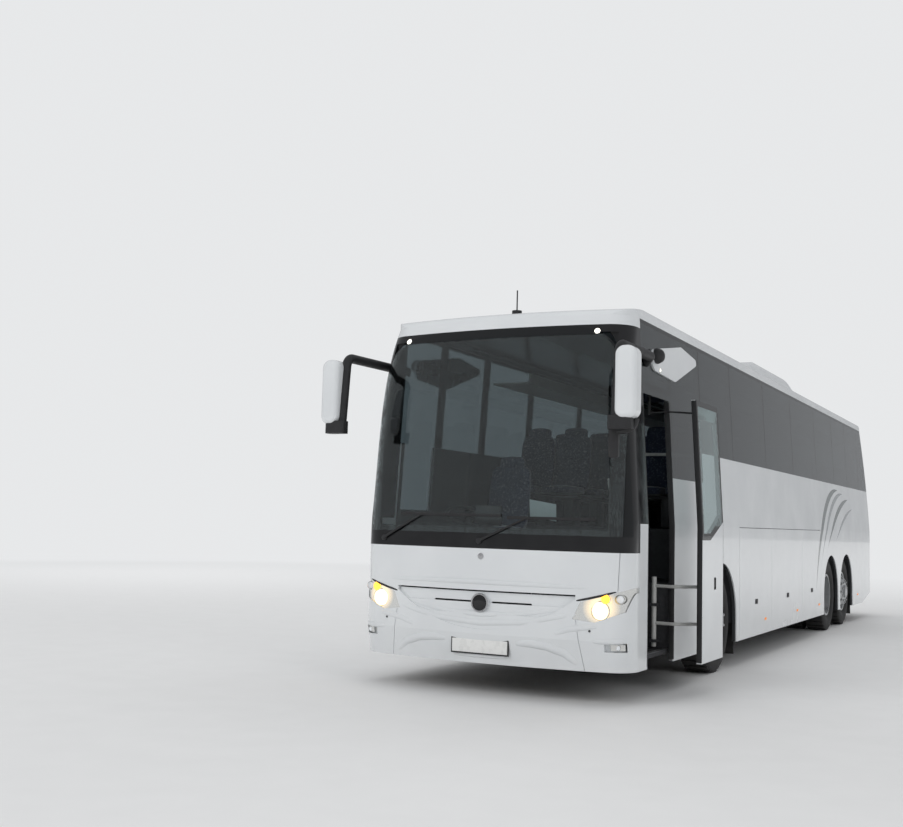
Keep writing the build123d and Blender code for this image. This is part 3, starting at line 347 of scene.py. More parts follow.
def started(name, **numbers):
    """A new material with numbers set on its shader, and its tree."""
    material = bpy.data.materials.new(name)
    material.use_nodes = True
    shader = material.node_tree.nodes["Principled BSDF"]
    for socket, value in numbers.items():
        shader.inputs[socket.replace("_", " ")].default_value = value
    return material, material.node_tree


def finished(material, **sockets):
    """Joins sockets to a material's shader."""
    tree = material.node_tree
    for socket, value in sockets.items():
        tree.links.new(value, tree.nodes["Principled BSDF"].inputs[socket.replace("_", " ")])
    return material


def plain_finish(name, light, dark, rough, spread=0.12, scale=18, bumps=0.15, fine=240, **numbers):
    """A finish that varies a little in tone and gloss, over a fine moulded or cast grain."""
    material, tree = started(name, **numbers)
    vector, *_ = place(tree)
    patches = grain(tree, vector, scale)
    specks = grain(tree, vector, fine, 2.0)
    tone = calc(tree, "ADD", product(tree, patches, 0.7), product(tree, specks, 0.3))
    return finished(
        material,
        Base_Color=tinted(tree, ramp(tree, tone, 0.35, 0.65), dark, light),
        Roughness=ramp(tree, patches, 0.3, 0.7, rough - spread, rough + spread),
        Normal=relief(tree, specks, bumps),
    )


# Finishes

WHITE = (0.80, 0.82, 0.83)
WHITE_SHADE = (0.75, 0.77, 0.785)
ROAD_DUST = (0.42, 0.41, 0.39)
# The inner faces' lining grey, darkened as painted shade of the coach's dim inside
LINING_AND_SHADE_GREY = (0.060, 0.062, 0.066)
BLACK_BORDER = (0.008, 0.009, 0.010)
BOWL_BRIGHT, BOWL_SHADE = (0.80, 0.80, 0.78), (0.72, 0.72, 0.70)
LAMP_GLOW = (1.0, 0.68, 0.26, 1)
GLOW_X, GLOW_Z = 1.045, 0.79
SWEEP_GREEN = (0.085, 0.115, 0.11)
SWEEP_GREY = (0.30, 0.33, 0.34)

# The skin's inner faces: how deep the paint goes, where the cab starts, how high only faces that look
# inwards or down count, how the tail curves, and how much of a normal counts as looking that way
PAINT_DEPTH = 0.012
CAB_STATION = 0.640
ROOF_SKIN_Z = 3.20
TAIL_RADIUS = 3.600
FACING = 0.3

# Crescents of the side's design: stations and heights of the two tips, and the rise of each edge
SWEEPS = (
    ((8.00, 0.62), (9.90, 2.10), 0.50, 0.36, SWEEP_GREEN),
    ((8.42, 1.02), (10.35, 2.06), 0.33, 0.23, SWEEP_GREY),
    ((8.90, 1.22), (10.80, 1.98), 0.21, 0.11, SWEEP_GREEN),
    ((9.55, 1.30), (11.20, 1.84), 0.12, 0.06, SWEEP_GREY),
)
SWEEP_EDGE = 0.002


def lit_bowl():
    """The bright bowl of a headlamp, warm where its lit lamp shines on it."""
    numbers = {"Metallic": 0.9, "Emission_Color": LAMP_GLOW}
    bowl = plain_finish("headlamp_bowl", BOWL_BRIGHT, BOWL_SHADE, 0.16, 0.06, **numbers)
    tree = bowl.node_tree
    vector, x, y, z = place(tree)
    across = calc(tree, "SUBTRACT", calc(tree, "ABSOLUTE", x), GLOW_X)
    away = distance(tree, across, calc(tree, "SUBTRACT", z, GLOW_Z))
    return finished(bowl, Emission_Strength=ramp(tree, away, 0.06, 0.15, 0.9, 0.0))


def inside_arc(tree, y, z, first, second, rise):
    """One inside the circle whose arc joins two points and rises that much over them, else nought."""
    start, end = Vector(first), Vector(second)
    chord = end - start
    radius = (chord.length**2 / 4 + rise**2) / (2 * rise)
    middle = (start + end) / 2 + Vector((-chord.y, chord.x)).normalized() * (rise - radius)
    across = calc(tree, "SUBTRACT", y, y_at(middle.x))
    away = distance(tree, across, calc(tree, "SUBTRACT", z, middle.y))
    return ramp(tree, away, radius - SWEEP_EDGE, radius + SWEEP_EDGE, 1.0, 0.0)


def lining_and_shade_mask(tree, x, y, z):
    """One on the inner faces of the body's panels, which take a lining grey darkened as painted shade of the
    dim inside; nought on the outside.
    """
    lean = ramp(tree, z, WAIST_Z, ROOF_Z, BODY_HALF - PAINT_DEPTH, ROOF_HALF - PAINT_DEPTH)
    between_sides = calc(tree, "LESS_THAN", calc(tree, "ABSOLUTE", x), lean)
    behind_nose = calc(tree, "GREATER_THAN", y, y_at(CAB_STATION))
    rise = calc(tree, "MAXIMUM", calc(tree, "SUBTRACT", z, WAIST_Z), 0.0)
    setback = calc(tree, "DIVIDE", product(tree, rise, rise), 2 * TAIL_RADIUS)
    before_tail = calc(tree, "LESS_THAN", calc(tree, "ADD", y, setback), TAIL_Y - PAINT_DEPTH)
    facing = split(tree, tree.nodes.new("ShaderNodeNewGeometry").outputs["True Normal"])
    to_middle = calc(tree, "LESS_THAN", product(tree, x, facing[0]), -FACING)
    inner_roof = calc(tree, "MAXIMUM", to_middle, calc(tree, "LESS_THAN", facing[2], -FACING))
    low_or_inner = calc(tree, "MAXIMUM", calc(tree, "LESS_THAN", z, ROOF_SKIN_Z), inner_roof)
    return product(tree, between_sides, low_or_inner, behind_nose, before_tail)


def coach_paint():
    """White gloss paint with the sweeping crescents on the sides and a little road dust low down."""
    material, tree = started("coach_paint", Coat_Weight=0.6, Coat_Roughness=0.04)
    vector, x, y, z = place(tree)
    broad = grain(tree, vector, 1.4, 5.0)
    peel = grain(tree, vector, 320, 1.0)
    colour = tinted(tree, ramp(tree, broad, 0.35, 0.65), WHITE_SHADE, WHITE)
    for first, second, outer_rise, inner_rise, shade in SWEEPS:
        outer = inside_arc(tree, y, z, first, second, outer_rise)
        inner = inside_arc(tree, y, z, first, second, inner_rise)
        colour = tinted(tree, product(tree, outer, calc(tree, "SUBTRACT", 1.0, inner)), colour, shade)
    low = ramp(tree, z, 0.25, 0.70, 0.14, 0.0)
    dust = product(tree, low, ramp(tree, grain(tree, vector, 5, 8.0), 0.25, 0.80))
    colour = tinted(tree, dust, colour, ROAD_DUST)
    gloss = ramp(tree, broad, 0.3, 0.7, 0.16, 0.26)
    return finished(
        material,
        # The inner faces take the lining grey, darkened as painted shade of the dim inside
        Base_Color=tinted(tree, lining_and_shade_mask(tree, x, y, z), colour, LINING_AND_SHADE_GREY),
        Roughness=calc(tree, "ADD", gloss, product(tree, dust, 0.5)),
        Normal=relief(tree, peel, 0.03, 0.001),
    )


def glass(name, tint, clear, bands):
    """Glass with black borders: each band is y, z or across, either side of the middle, and its range."""
    material, tree = started(name, IOR=1.45, Specular_IOR_Level=0.5)
    vector, x, y, z = place(tree)
    axes = {"y": y, "z": z, "across": calc(tree, "ABSOLUTE", x)}
    border, *others = [within(tree, axes[axis], low, high) for axis, low, high in bands]
    for band in others:
        border = calc(tree, "MAXIMUM", border, band)
    # Lighter patches of the tint are painted faint highlights; the same noise gives the glass a faint haze
    film_and_highlights = grain(tree, vector, 2.2, 6.0)
    light = tuple(min(1.0, c * 1.06) for c in tint)
    haze = ramp(tree, film_and_highlights, 0.4, 0.8, 0.0, 0.03)
    return finished(
        material,
        Base_Color=tinted(tree, border, tinted(tree, film_and_highlights, tint, light), BLACK_BORDER),
        Transmission_Weight=product(tree, calc(tree, "SUBTRACT", 1.0, border), clear),
        Roughness=calc(tree, "ADD", haze, product(tree, border, 0.08)),
    )


def waves(tree, value, pitch):
    """Fine waves along a value."""
    return calc(tree, "SINE", product(tree, value, pitch))


def lamp_finish(name, colour, glow, strength):
    """Ribbed lamp plastic or glass that glows a little."""
    light = {"Emission_Color": (*glow, 1), "Emission_Strength": strength}
    material, tree = started(name, Transmission_Weight=0.35, IOR=1.49, **light)
    vector, x, y, z = place(tree)
    cells = product(tree, waves(tree, x, 900), waves(tree, z, 900))
    shade = tuple(c * 0.7 for c in colour)
    return finished(
        material,
        Base_Color=tinted(tree, ramp(tree, cells, -1, 1), shade, colour),
        Roughness=ramp(tree, grain(tree, vector, 60), 0.3, 0.7, 0.06, 0.16),
        Normal=relief(tree, cells, 0.3, 0.001),
    )


def seat_cloth():
    """Woven dark blue moquette with a small fleck."""
    material, tree = started("seat_cloth", Sheen_Weight=0.4, Sheen_Roughness=0.5)
    vector, x, y, z = place(tree)
    weave = product(tree, waves(tree, x, 1400), waves(tree, calc(tree, "ADD", y, z), 1400))
    fleck = ramp(tree, grain(tree, vector, 55, 1.0), 0.58, 0.64)
    pile = tinted(tree, ramp(tree, weave, -1, 1), (0.016, 0.022, 0.045), (0.035, 0.045, 0.085))
    return finished(
        material,
        Base_Color=tinted(tree, fleck, pile, (0.10, 0.12, 0.16)),
        Roughness=ramp(tree, grain(tree, vector, 12), 0.3, 0.7, 0.80, 0.95),
        Normal=relief(tree, weave, 0.4, 0.001),
    )


def tyre_rubber():
    """Road rubber, dusty on its walls."""
    material, tree = started("tyre_rubber")
    vector, *_ = place(tree)
    dust = ramp(tree, grain(tree, vector, 14, 8.0), 0.40, 0.75)
    return finished(
        material,
        Base_Color=tinted(tree, dust, (0.012, 0.012, 0.013), (0.05, 0.048, 0.045)),
        Roughness=ramp(tree, dust, 0, 1, 0.62, 0.9),
        Normal=relief(tree, grain(tree, vector, 260, 3.0), 0.35, 0.002),
    )


def edge_band(axis, edge, inwards):
    """The black band from a pane's edge inwards, which starts a little outside it."""
    outside = edge - (0.01 if inwards > 0 else -0.01)
    return axis, *sorted((outside, edge + inwards))


leaf_low, leaf_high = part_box("door_glass")
rear_low, rear_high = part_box("rear_glass")
side_bands = [("y", y_at(station) - 0.012, y_at(station) + 0.012) for station in DIVIDERS]
side_bands.append(("z", 3.215, 3.30))
screen_bands = [
    edge_band("z", SCREEN_TOP_Z, -0.09),
    ("across", 1.205, 1.3),
]
door_bands = [
    edge_band("y", leaf_low[1], 0.035),
    edge_band("y", leaf_high[1], -0.035),
    edge_band("z", leaf_high[2], -0.05),
    edge_band("z", leaf_low[2], 0.035),
]
rear_bands = [
    edge_band("across", rear_high[0], -0.06),
    edge_band("z", rear_high[2], -0.06),
    edge_band("z", rear_low[2], 0.06),
]

PAINT = coach_paint()
GLOSS_BLACK = plain_finish("gloss_black", (0.012, 0.012, 0.013), (0.008, 0.008, 0.009), 0.12, 0.05, 6, 0.02)
PLASTIC = plain_finish("black_plastic", (0.028, 0.028, 0.03), (0.016, 0.016, 0.017), 0.55, 0.1)
SIDE_GLASS = glass("side_glass", (0.10, 0.12, 0.13), 0.92, side_bands)
SCREEN_GLASS = glass("screen_glass", (0.70, 0.78, 0.79), 1.0, screen_bands)
DOOR_GLASS = glass("door_glass", (0.46, 0.56, 0.56), 1.0, door_bands)
REAR_GLASS = glass("rear_glass", (0.08, 0.10, 0.10), 0.92, rear_bands)
LAMP_BOWL = plain_finish("lamp_bowl", BOWL_BRIGHT, BOWL_SHADE, 0.16, 0.06, Metallic=0.9)
LAMP_RED = lamp_finish("lamp_red", (0.55, 0.02, 0.02), (1.0, 0.05, 0.03), 0.15)
LAMP_WARM = lamp_finish("lamp_warm", (1.0, 0.84, 0.55), (1.0, 0.80, 0.45), 1.9)
LAMP_AMBER = lamp_finish("lamp_amber", (1.0, 0.42, 0.05), (1.0, 0.40, 0.03), 3.0)
LAMP_SIDE = lamp_finish("lamp_side", (0.95, 0.33, 0.03), (1.0, 0.30, 0.02), 0.35)
LAMP_CLEAR = lamp_finish("lamp_clear", (0.9, 0.92, 0.95), (0.9, 0.95, 1.0), 0.2)
LAMP_MARKER = lamp_finish("lamp_marker", (1.0, 0.97, 0.9), (1.0, 0.97, 0.88), 2.6)
RUBBER = tyre_rubber()
RIM = plain_finish("rim_metal", (0.56, 0.57, 0.58), (0.47, 0.475, 0.48), 0.34, 0.1, 12, 0.12, Metallic=0.75)
NUT = plain_finish("nut_steel", (0.62, 0.62, 0.63), (0.45, 0.45, 0.46), 0.3, 0.1, Metallic=1.0)
CHASSIS = plain_finish("chassis_paint", (0.035, 0.036, 0.038), (0.02, 0.02, 0.022), 0.62, 0.15)
CAST = plain_finish("cast_iron", (0.075, 0.072, 0.068), (0.04, 0.038, 0.036), 0.7, 0.15, 14, 0.5, 120)
LINING = plain_finish("floor_lining", (0.055, 0.056, 0.06), (0.03, 0.031, 0.034), 0.78, 0.1, 30, 0.5, 300)
CLOTH = seat_cloth()
RACK = plain_finish("rack_plastic", (0.32, 0.32, 0.31), (0.25, 0.25, 0.245), 0.5)
STEEL = plain_finish("tow_steel", (0.42, 0.42, 0.43), (0.28, 0.28, 0.29), 0.38, 0.12, Metallic=0.9)
ARM_GREY = plain_finish("arm_grey", (0.60, 0.60, 0.58), (0.50, 0.50, 0.485), 0.32, 0.08)
MIRROR = plain_finish("mirror_glass", (0.82, 0.84, 0.85), (0.78, 0.80, 0.82), 0.05, 0.03, 3, 0, Metallic=1)
PLATE = plain_finish("plate_white", (0.86, 0.86, 0.84), (0.80, 0.80, 0.78), 0.3, 0.08)
PLATE_REAR = plain_finish("plate_yellow", (0.84, 0.60, 0.06), (0.76, 0.54, 0.05), 0.3, 0.08)
CARD = plain_finish("card_paper", (0.78, 0.84, 0.84), (0.72, 0.79, 0.79), 0.6, 0.1)

slot_finishes = {
    "white_paint": PAINT,
    "black_paint": GLOSS_BLACK,
    "glass_dark": SIDE_GLASS,
    "glass_clear": SCREEN_GLASS,
    "lamp_lens": LAMP_BOWL,
    "lamp_red": LAMP_RED,
    "tyre_rubber": RUBBER,
    "rim_metal": RIM,
    "chassis_metal": CHASSIS,
    "axle_metal": CAST,
    "black_plastic": PLASTIC,
    "floor_lining": LINING,
    "seat_fabric": CLOTH,
    "rack_plastic": RACK,
    "steel": STEEL,
    "arm_grey": ARM_GREY,
}
own_finishes = {
    "headlamps": lit_bowl(),
    "door_glass": DOOR_GLASS,
    "rear_glass": REAR_GLASS,
    "grille": PAINT,
}
for subpart in frame["record"]["subparts"]:
    finish = own_finishes.get(subpart["node"], slot_finishes[subpart["material_slot"]])
    for material_slot in NODES[subpart["node"]].material_slots:
        material_slot.material = finish

# The slot that goes with each finish, in a table that nothing here reads
LENSES = (LAMP_WARM, LAMP_AMBER, LAMP_SIDE, LAMP_CLEAR, LAMP_MARKER)
SLOT_OF = {finish.name: slot for slot, finish in slot_finishes.items()}
SLOT_OF |= {finish.name: "lamp_lens" for finish in LENSES}
SLOT_OF |= {NUT.name: "steel", MIRROR.name: "glass_dark", PLATE_REAR.name: "rim_metal"}
SLOT_OF |= {PLATE.name: "white_paint", CARD.name: "white_paint"}


def dress(piece, finish, body="coach_body", angle=35):
    """Gives a piece its finish and the body that it rides on."""
    piece.data.materials.clear()
    piece.data.materials.append(finish)
    pick(piece)
    bpy.ops.object.shade_smooth_by_angle(angle=radians(angle))
    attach(piece, body)
    return piece


def fitted(name, low, high, width, segments, finish, body="coach_body", slot=None, spot=(0, 0, 0)):
    """A dressed block with rounded edges between two corners measured from a spot."""
    return dress(rounded(block(name, low, high, spot), width, segments), finish, body)


def rail(name, stops, radius=0.016, finish=ARM_GREY):
    """A dressed tube near its stops: places across, stations and heights."""
    return dress(tube(name, [(x, y_at(station), z) for x, station, z in stops], radius), finish)


# Camera, found from the photograph's own lines
PHOTO_WIDTH = 903
FOCAL_PIXELS = 1146.76
CAMERA_PLACE = Vector((4.395, NOSE_Y - 8.772, 1.451))
CAMERA_YAW, CAMERA_PITCH, CAMERA_ROLL = radians(-28.25), radians(5.41), radians(1.54)


def photo_camera():
    """The camera where the photograph was taken."""
    level = cos(CAMERA_PITCH)
    ahead = Vector((sin(CAMERA_YAW) * level, cos(CAMERA_YAW) * level, sin(CAMERA_PITCH)))
    right = Vector((cos(CAMERA_YAW), -sin(CAMERA_YAW), 0))
    up = right.cross(ahead)
    level_right = right * cos(CAMERA_ROLL) + up * sin(CAMERA_ROLL)
    level_up = up * cos(CAMERA_ROLL) - right * sin(CAMERA_ROLL)
    deselect()
    bpy.ops.object.camera_add()
    camera = bpy.context.object
    camera.name = "photo_camera"
    turn = Matrix((level_right, level_up, -ahead)).transposed()
    camera.matrix_world = Matrix.Translation(CAMERA_PLACE) @ turn.to_4x4()
    camera.data.sensor_width = 36
    camera.data.lens = FOCAL_PIXELS / PHOTO_WIDTH * camera.data.sensor_width
    camera.data.clip_end = 400
    bpy.context.scene.camera = camera


# The studio: the pale backdrop, the world's light, the floor's two tones and where it fades into the backdrop
SURROUNDINGS = (0.80, 0.81, 0.82, 1)
SKY_LIGHT, SKY_STRENGTH = (0.95, 0.97, 1.0, 1), 0.42
FLOOR_SHADE, FLOOR_LIGHT = (0.83, 0.83, 0.825), (0.88, 0.88, 0.875)
FLOOR_FADE = (8, 25)

# Soft lamps: place, what each points at, size and power
STUDIO_LAMPS = (
    ("key_lamp", (-9, -24, 13), (0, -3, 1.6), 11, 1500),
    ("door_lamp", (17, -13, 9), (0, -2, 1.6), 10, 620),
    ("rear_lamp", (6, 24, 12), (0, 3, 1.6), 12, 1100),
    ("far_side_lamp", (-18, 8, 10), (0, 1, 1.6), 12, 800),
    ("top_lamp", (0, 0, 17), (0, 0, 0), 14, 700),
)


def blended(tree, factor, first, second):
    """A shader between two."""
    node = tree.nodes.new("ShaderNodeMixShader")
    for socket, value in zip(node.inputs, (factor, first, second)):
        tree.links.new(value, socket)
    return node.outputs[0]


def studio():
    """The pale floor, the pale surroundings and the soft lamps."""
    material, tree = started("floor_pale", Roughness=0.75)
    vector, *_ = place(tree)
    finished(material, Base_Color=tinted(tree, grain(tree, vector, 3.0, 6.0), FLOOR_SHADE, FLOOR_LIGHT))
    away = tree.nodes.new("ShaderNodeVectorMath")
    away.operation = "LENGTH"
    tree.links.new(vector, away.inputs[0])
    glow = tree.nodes.new("ShaderNodeEmission")
    glow.inputs["Color"].default_value = SURROUNDINGS
    fade = ramp(tree, away.outputs["Value"], *FLOOR_FADE)
    shown = blended(tree, fade, tree.nodes["Principled BSDF"].outputs[0], glow.outputs[0])
    tree.links.new(shown, tree.nodes["Material Output"].inputs["Surface"])
    deselect()
    bpy.ops.mesh.primitive_circle_add(vertices=96, radius=180, fill_type="NGON", location=(0, 0, 0))
    floor = named("studio_floor")
    floor.data.materials.append(material)

    world = bpy.data.worlds.new("studio_world")
    world.use_nodes = True
    bpy.context.scene.world = world
    tree = world.node_tree
    backdrop, lighting = tree.nodes["Background"], tree.nodes.new("ShaderNodeBackground")
    for node, colour, strength in ((backdrop, SURROUNDINGS, 1.0), (lighting, SKY_LIGHT, SKY_STRENGTH)):
        node.inputs["Color"].default_value = colour
        node.inputs["Strength"].default_value = strength
    rays = tree.nodes.new("ShaderNodeLightPath")
    seen = calc(tree, "MAXIMUM", rays.outputs["Is Camera Ray"], rays.outputs["Is Transmission Ray"])
    shown = blended(tree, seen, lighting.outputs[0], backdrop.outputs[0])
    tree.links.new(shown, tree.nodes["World Output"].inputs["Surface"])

    for name, spot, target, size, power in STUDIO_LAMPS:
        deselect()
        bpy.ops.object.light_add(type="AREA", location=spot)
        lamp = bpy.context.object
        lamp.name = name
        lamp.data.size = size
        lamp.data.energy = power
        lamp.visible_glossy = False
        lamp.visible_transmission = False
        lamp.rotation_euler = (Vector(target) - Vector(spot)).to_track_quat("-Z", "Y").to_euler()


photo_camera()
studio()
bpy.context.scene.view_settings.view_transform = "Standard"

# Wheels: half of a tyre's outline from the bead to the middle of the tread, along the axis and out from it
TYRE_HALF = 0.147
TREAD_BASE = 0.509
RIB, GROOVE = TREAD_BASE + 0.001, TREAD_BASE - 0.006
BLOCK_HEIGHT = 0.012
TYRE_PROFILE = (
    (0.100, 0.291), (0.104, 0.308), (0.122, 0.330), (0.140, 0.365), (0.1465, 0.400), (TYRE_HALF, 0.430),
    (0.142, 0.462), (0.136, 0.486), (0.130, 0.500), (0.120, TREAD_BASE), (0.072, RIB), (0.070, GROOVE),
    (0.062, GROOVE), (0.060, RIB), (0.016, RIB), (0.014, GROOVE), (0.006, GROOVE), (0.004, RIB),
)
WHEEL_STEPS = 96
NUTS = 10
NUT_CIRCLE = 0.1675
CAP_PROFILE = ((-0.012, 0.096), (-0.004, 0.098), (0, 0.094), (0.003, 0.080), (0.006, 0.074), (0.006, 0))
NUT_PROFILE = ((-0.004, 0.024), (0.004, 0.024), (0.006, 0.017), (0.020, 0.017), (0.025, 0.010), (0.030, 0))

# Each axle's wheel: the places across of its face, where the nuts sit, and of its hub's end
WHEEL_FACES = {"front": (1.238, 1.266), "drive": (0.937, 1.140), "tag": (1.238, 1.266)}


def tyre(name, middle):
    """One tyre with its grooves and blocks, turned about the wheel's axis."""
    far_half = [(-along, radius) for along, radius in reversed(TYRE_PROFILE)]
    piece = turned(name, [*TYRE_PROFILE, *far_half, TYRE_PROFILE[0]], middle, (1, 0, 0), WHEEL_STEPS)

    def block_top(spot, normal):
        up, back = spot.z - middle.z, spot.y - middle.y
        step = int(atan2(up, back) % (2 * pi) / (2 * pi) * WHEEL_STEPS)
        return abs((up**2 + back**2) ** 0.5 - TREAD_BASE) <= 0.003 and step % 3 != 0

    choose(piece, block_top)
    bpy.ops.mesh.extrude_region_shrink_fatten(TRANSFORM_OT_shrink_fatten={"value": BLOCK_HEIGHT})
    done()
    return piece


def wheel_trim(name, middle, faces, outward):
    """The hub's cap and the ring of nuts on a wheel's face."""
    axis = (outward, 0, 0)
    face, hub = (Vector((outward * x, middle.y, middle.z)) for x in faces)
    parts = [turned(f"{name}_cap", CAP_PROFILE, hub, axis, 40)]
    for number in range(NUTS):
        angle = 2 * pi * (number + 0.5) / NUTS
        spot = face + Vector((0, cos(angle), sin(angle))) * NUT_CIRCLE - Vector(axis) * 0.006
        parts.append(turned(f"{name}_nut_{number}", NUT_PROFILE, spot, axis, 6))
    return joined(name, parts)


def wheels():
    """Tyres with tread in place of the plain ones, and each wheel's cap and nuts."""
    for side, sign in SIDES:
        for axle, faces in WHEEL_FACES.items():
            body = f"{axle}_wheel_{side}"
            node = f"{axle}_wheel_tyre_{side}"
            low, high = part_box(node)
            middle = (Vector(low) + Vector(high)) / 2
            twins = (low[0] + TYRE_HALF, high[0] - TYRE_HALF)
            places = twins if axle == "drive" else (middle.x,)
            tyres = [tyre(f"{body}_tread_{i}", Vector((x, *middle.yz))) for i, x in enumerate(places)]
            tread = joined(f"{body}_tread", tyres) if len(tyres) > 1 else tyres[0]
            dress(tread, RUBBER, body, angle=30)
            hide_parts(node)
            dress(wheel_trim(f"{body}_nuts", middle, faces, sign), NUT, body)


wheels()

# Seats
SEAT_PITCH = 0.790
SEAT_ROWS = 12
FRONT_SEATS = 24
FIRST_SEAT = 2.720
SEAT_OUTER, AISLE_HALF = 1.150, 0.265
SEAT_Z, SEAT_TOP_Z = CABIN_FLOOR_Z + 0.450, CABIN_FLOOR_Z + 1.130
CUSHION_DEPTH = 0.115
SEAT_RAKE = 9
DRIVER_X, DRIVER_STATION = -0.650, 1.380
DRIVER_SEAT_Z, DRIVER_TOP_Z = 1.440, 2.160

# The frame under each pair of seats, measured from its foot: two corners and the rounding of the edges
SEAT_FRAME = (
    ("leg", (-0.06, 0.15, CABIN_FLOOR_Z), (0.06, 0.40, SEAT_Z - CUSHION_DEPTH), 0.02),
    ("beam", (-0.43, 0.15, SEAT_Z - 0.145), (0.43, 0.43, SEAT_Z - 0.112), 0.01),
)


def pad(name, low, high, crown):
    """A cushion: a block cut into cells, crowned on its faces, drawn in at its edges and smoothed."""
    piece = subdivided(block(name, low, high), 4)
    centre = (Vector(low) + Vector(high)) / 2
    half = (Vector(high) - Vector(low)) / 2
    for vertex in piece.data.vertices:
        at = vertex.co - centre
        share = [abs(at[i]) / half[i] for i in range(3)]
        for i in range(3):
            others = [share[j] for j in range(3) if j != i]
            swell = (1 - others[0] ** 2) * (1 - others[1] ** 2)
            if share[i] > 0.99:
                vertex.co[i] -= (1 if at[i] > 0 else -1) * (crown * (1 - swell))
    pick(piece)
    smooth = piece.modifiers.new("Smooth", "SUBSURF")
    smooth.levels = smooth.render_levels = 1
    bpy.ops.object.modifier_apply(modifier=smooth.name)
    return piece


def seat_pads(name, low_x, high_x, station, seat_z, top_z):
    """The cushion, the raked back and the headrest of one seat facing the nose."""
    front, middle = y_at(station), (low_x + high_x) / 2
    cushion, back, head = (
        pad(f"{name}_{label}", (left, front + near, base), (right, front + far, top), crown)
        for label, left, right, near, far, base, top, crown in (
            ("cushion", low_x, high_x, -0.005, 0.440, seat_z - CUSHION_DEPTH, seat_z, 0.022),
            ("back", low_x, high_x, 0.445, 0.545, seat_z - 0.06, top_z - 0.10, 0.022),
            ("head", middle - 0.14, middle + 0.14, 0.455, 0.545, top_z - 0.16, top_z, 0.02),
        )
    )
    rake = joined(f"{name}_rake", [back, head])
    leaned(rake, SEAT_RAKE, "X", (middle, front + 0.47, seat_z - 0.06))
    return joined(name, [cushion, rake])


def soft(piece, replaced=None):
    """Dresses a padded piece in the seats' cloth, in place of its CAD node if asked."""
    dress(piece, CLOTH)
    if replaced:
        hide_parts(replaced)


def seats():
    """Passenger seats in pairs on both sides of the aisle, the driver's seat, and their legs and rails."""
    half = (SEAT_OUTER - AISLE_HALF) / 2
    inner, outer = AISLE_HALF + 0.005, AISLE_HALF + half - 0.01
    model = seat_pads("seat_model", inner, outer, FIRST_SEAT, SEAT_Z, SEAT_TOP_Z)
    copies = []
    for row in range(SEAT_ROWS):
        for number, shift in enumerate((0, half, -2 * AISLE_HALF - half, -2 * AISLE_HALF - 2 * half)):
            copies.append(copied(model, f"seat_{row}_{number}", (shift, row * SEAT_PITCH, 0)))
    soft(joined("front_seat_pads", copies[:FRONT_SEATS]), "passenger_seats")
    soft(joined("rear_seat_pads", copies[FRONT_SEATS:]))
    bpy.data.objects.remove(model)
    driver_low, driver_high = DRIVER_X - 0.23, DRIVER_X + 0.23
    driver = seat_pads("driver_pads", driver_low, driver_high, DRIVER_STATION, DRIVER_SEAT_Z, DRIVER_TOP_Z)
    soft(driver, "driver_seat")

    frames = []
    for row in range(SEAT_ROWS):
        for sign in (-1, 1):
            foot = Vector((sign * (AISLE_HALF + SEAT_OUTER) / 2, y_at(FIRST_SEAT + row * SEAT_PITCH), 0))
            for name, low, high, edge in SEAT_FRAME:
                frames.append(rounded(block(name, low, high, foot), edge, 2))
    pedestal = block("pedestal", (-0.13, 1.53, 0.951), (0.13, 1.78, 1.33), (DRIVER_X, NOSE_Y, 0))
    frames.append(rounded(pedestal, 0.02, 2))
    dress(joined("seat_frames", frames), CHASSIS)


seats()

# Lamps on the front: distance from the middle, height and radius of each round lens
HEAD_LAMPS = (
    ("main", 1.040, 0.765, 0.070, LAMP_WARM),
    ("turn", 1.085, 0.862, 0.036, LAMP_AMBER),
    ("side", 1.192, 0.862, 0.031, LAMP_CLEAR),
)

# A lens in its ring: heights as shares of the dome's bulge or in metres, and radii as shares of the lens's
DOME = ((0.45, 0.86), (0.85, 0.5), (1, 0))
RING = ((0.004, 1.04), (0.006, 1.09), (0.002, 1.16))


def lens(name, spot, normal, radius, bulge, finish, ring_rise=1.0):
    """A round domed lens in its bright ring, lying on a surface."""
    dome = [(-0.002, radius), *((bulge * rise, radius * share) for rise, share in DOME)]
    dress(turned(f"{name}_dome", dome, spot, normal, 36), finish)
    foot = (-0.004, radius * 1.02)
    edge = [(rise * ring_rise, radius * share) for rise, share in RING]
    ring = turned(f"{name}_ring", [foot, *edge, (-0.004, radius * 1.18), foot], spot, normal, 36)
    dress(ring, LAMP_BOWL)


def front_lamps():
    """Lenses in the headlamp bowls, fog lamps and the two marker lamps over the windscreen."""
    for side, sign in SIDES:
        for name, x, z, radius, finish in HEAD_LAMPS:
            out = radius * 0.8
            near = ((x, z), (x + out, z), (x, z + out), (x - out, z), (x, z - out))
            front = min(front_of(FRONT_NODES, sign * near_x, near_z)[0].y for near_x, near_z in near)
            lens(f"{name}_lamp_{side}", Vector((sign * x, front, z)), FORWARD, radius, 0.012, finish)
        spot, normal = front_of(SCREEN_NODES, sign * 0.92, 3.095)
        lens(f"marker_lamp_{side}", spot + normal * 0.003, normal, 0.023, 0.008, LAMP_MARKER)
        spot, _ = front_of(("headlamps",), sign * 1.175, 0.473)
        lens(f"fog_lamp_{side}", spot, FORWARD, 0.021, 0.008, LAMP_CLEAR)


front_lamps()

# Creases of the front: points across and in height, the radius of the ridge and its rise
CREASES = (
    ("brow_crease", ((-0.98, 0.945), (-0.5, 0.953), (0.0, 0.955), (0.5, 0.953), (0.98, 0.945)), 0.030, 0.012),
    ("slat_crease", ((-0.7, 0.755), (-0.35, 0.7), (0.0, 0.682), (0.35, 0.7), (0.7, 0.755)), 0.030, 0.011),
    ("smile_crease", ((-0.84, 0.73), (-0.42, 0.64), (0.0, 0.612), (0.42, 0.64), (0.84, 0.73)), 0.034, 0.013),
    ("plate_ledge", ((-0.27, 0.340), (0.0, 0.340), (0.27, 0.340)), 0.026, 0.012),
)

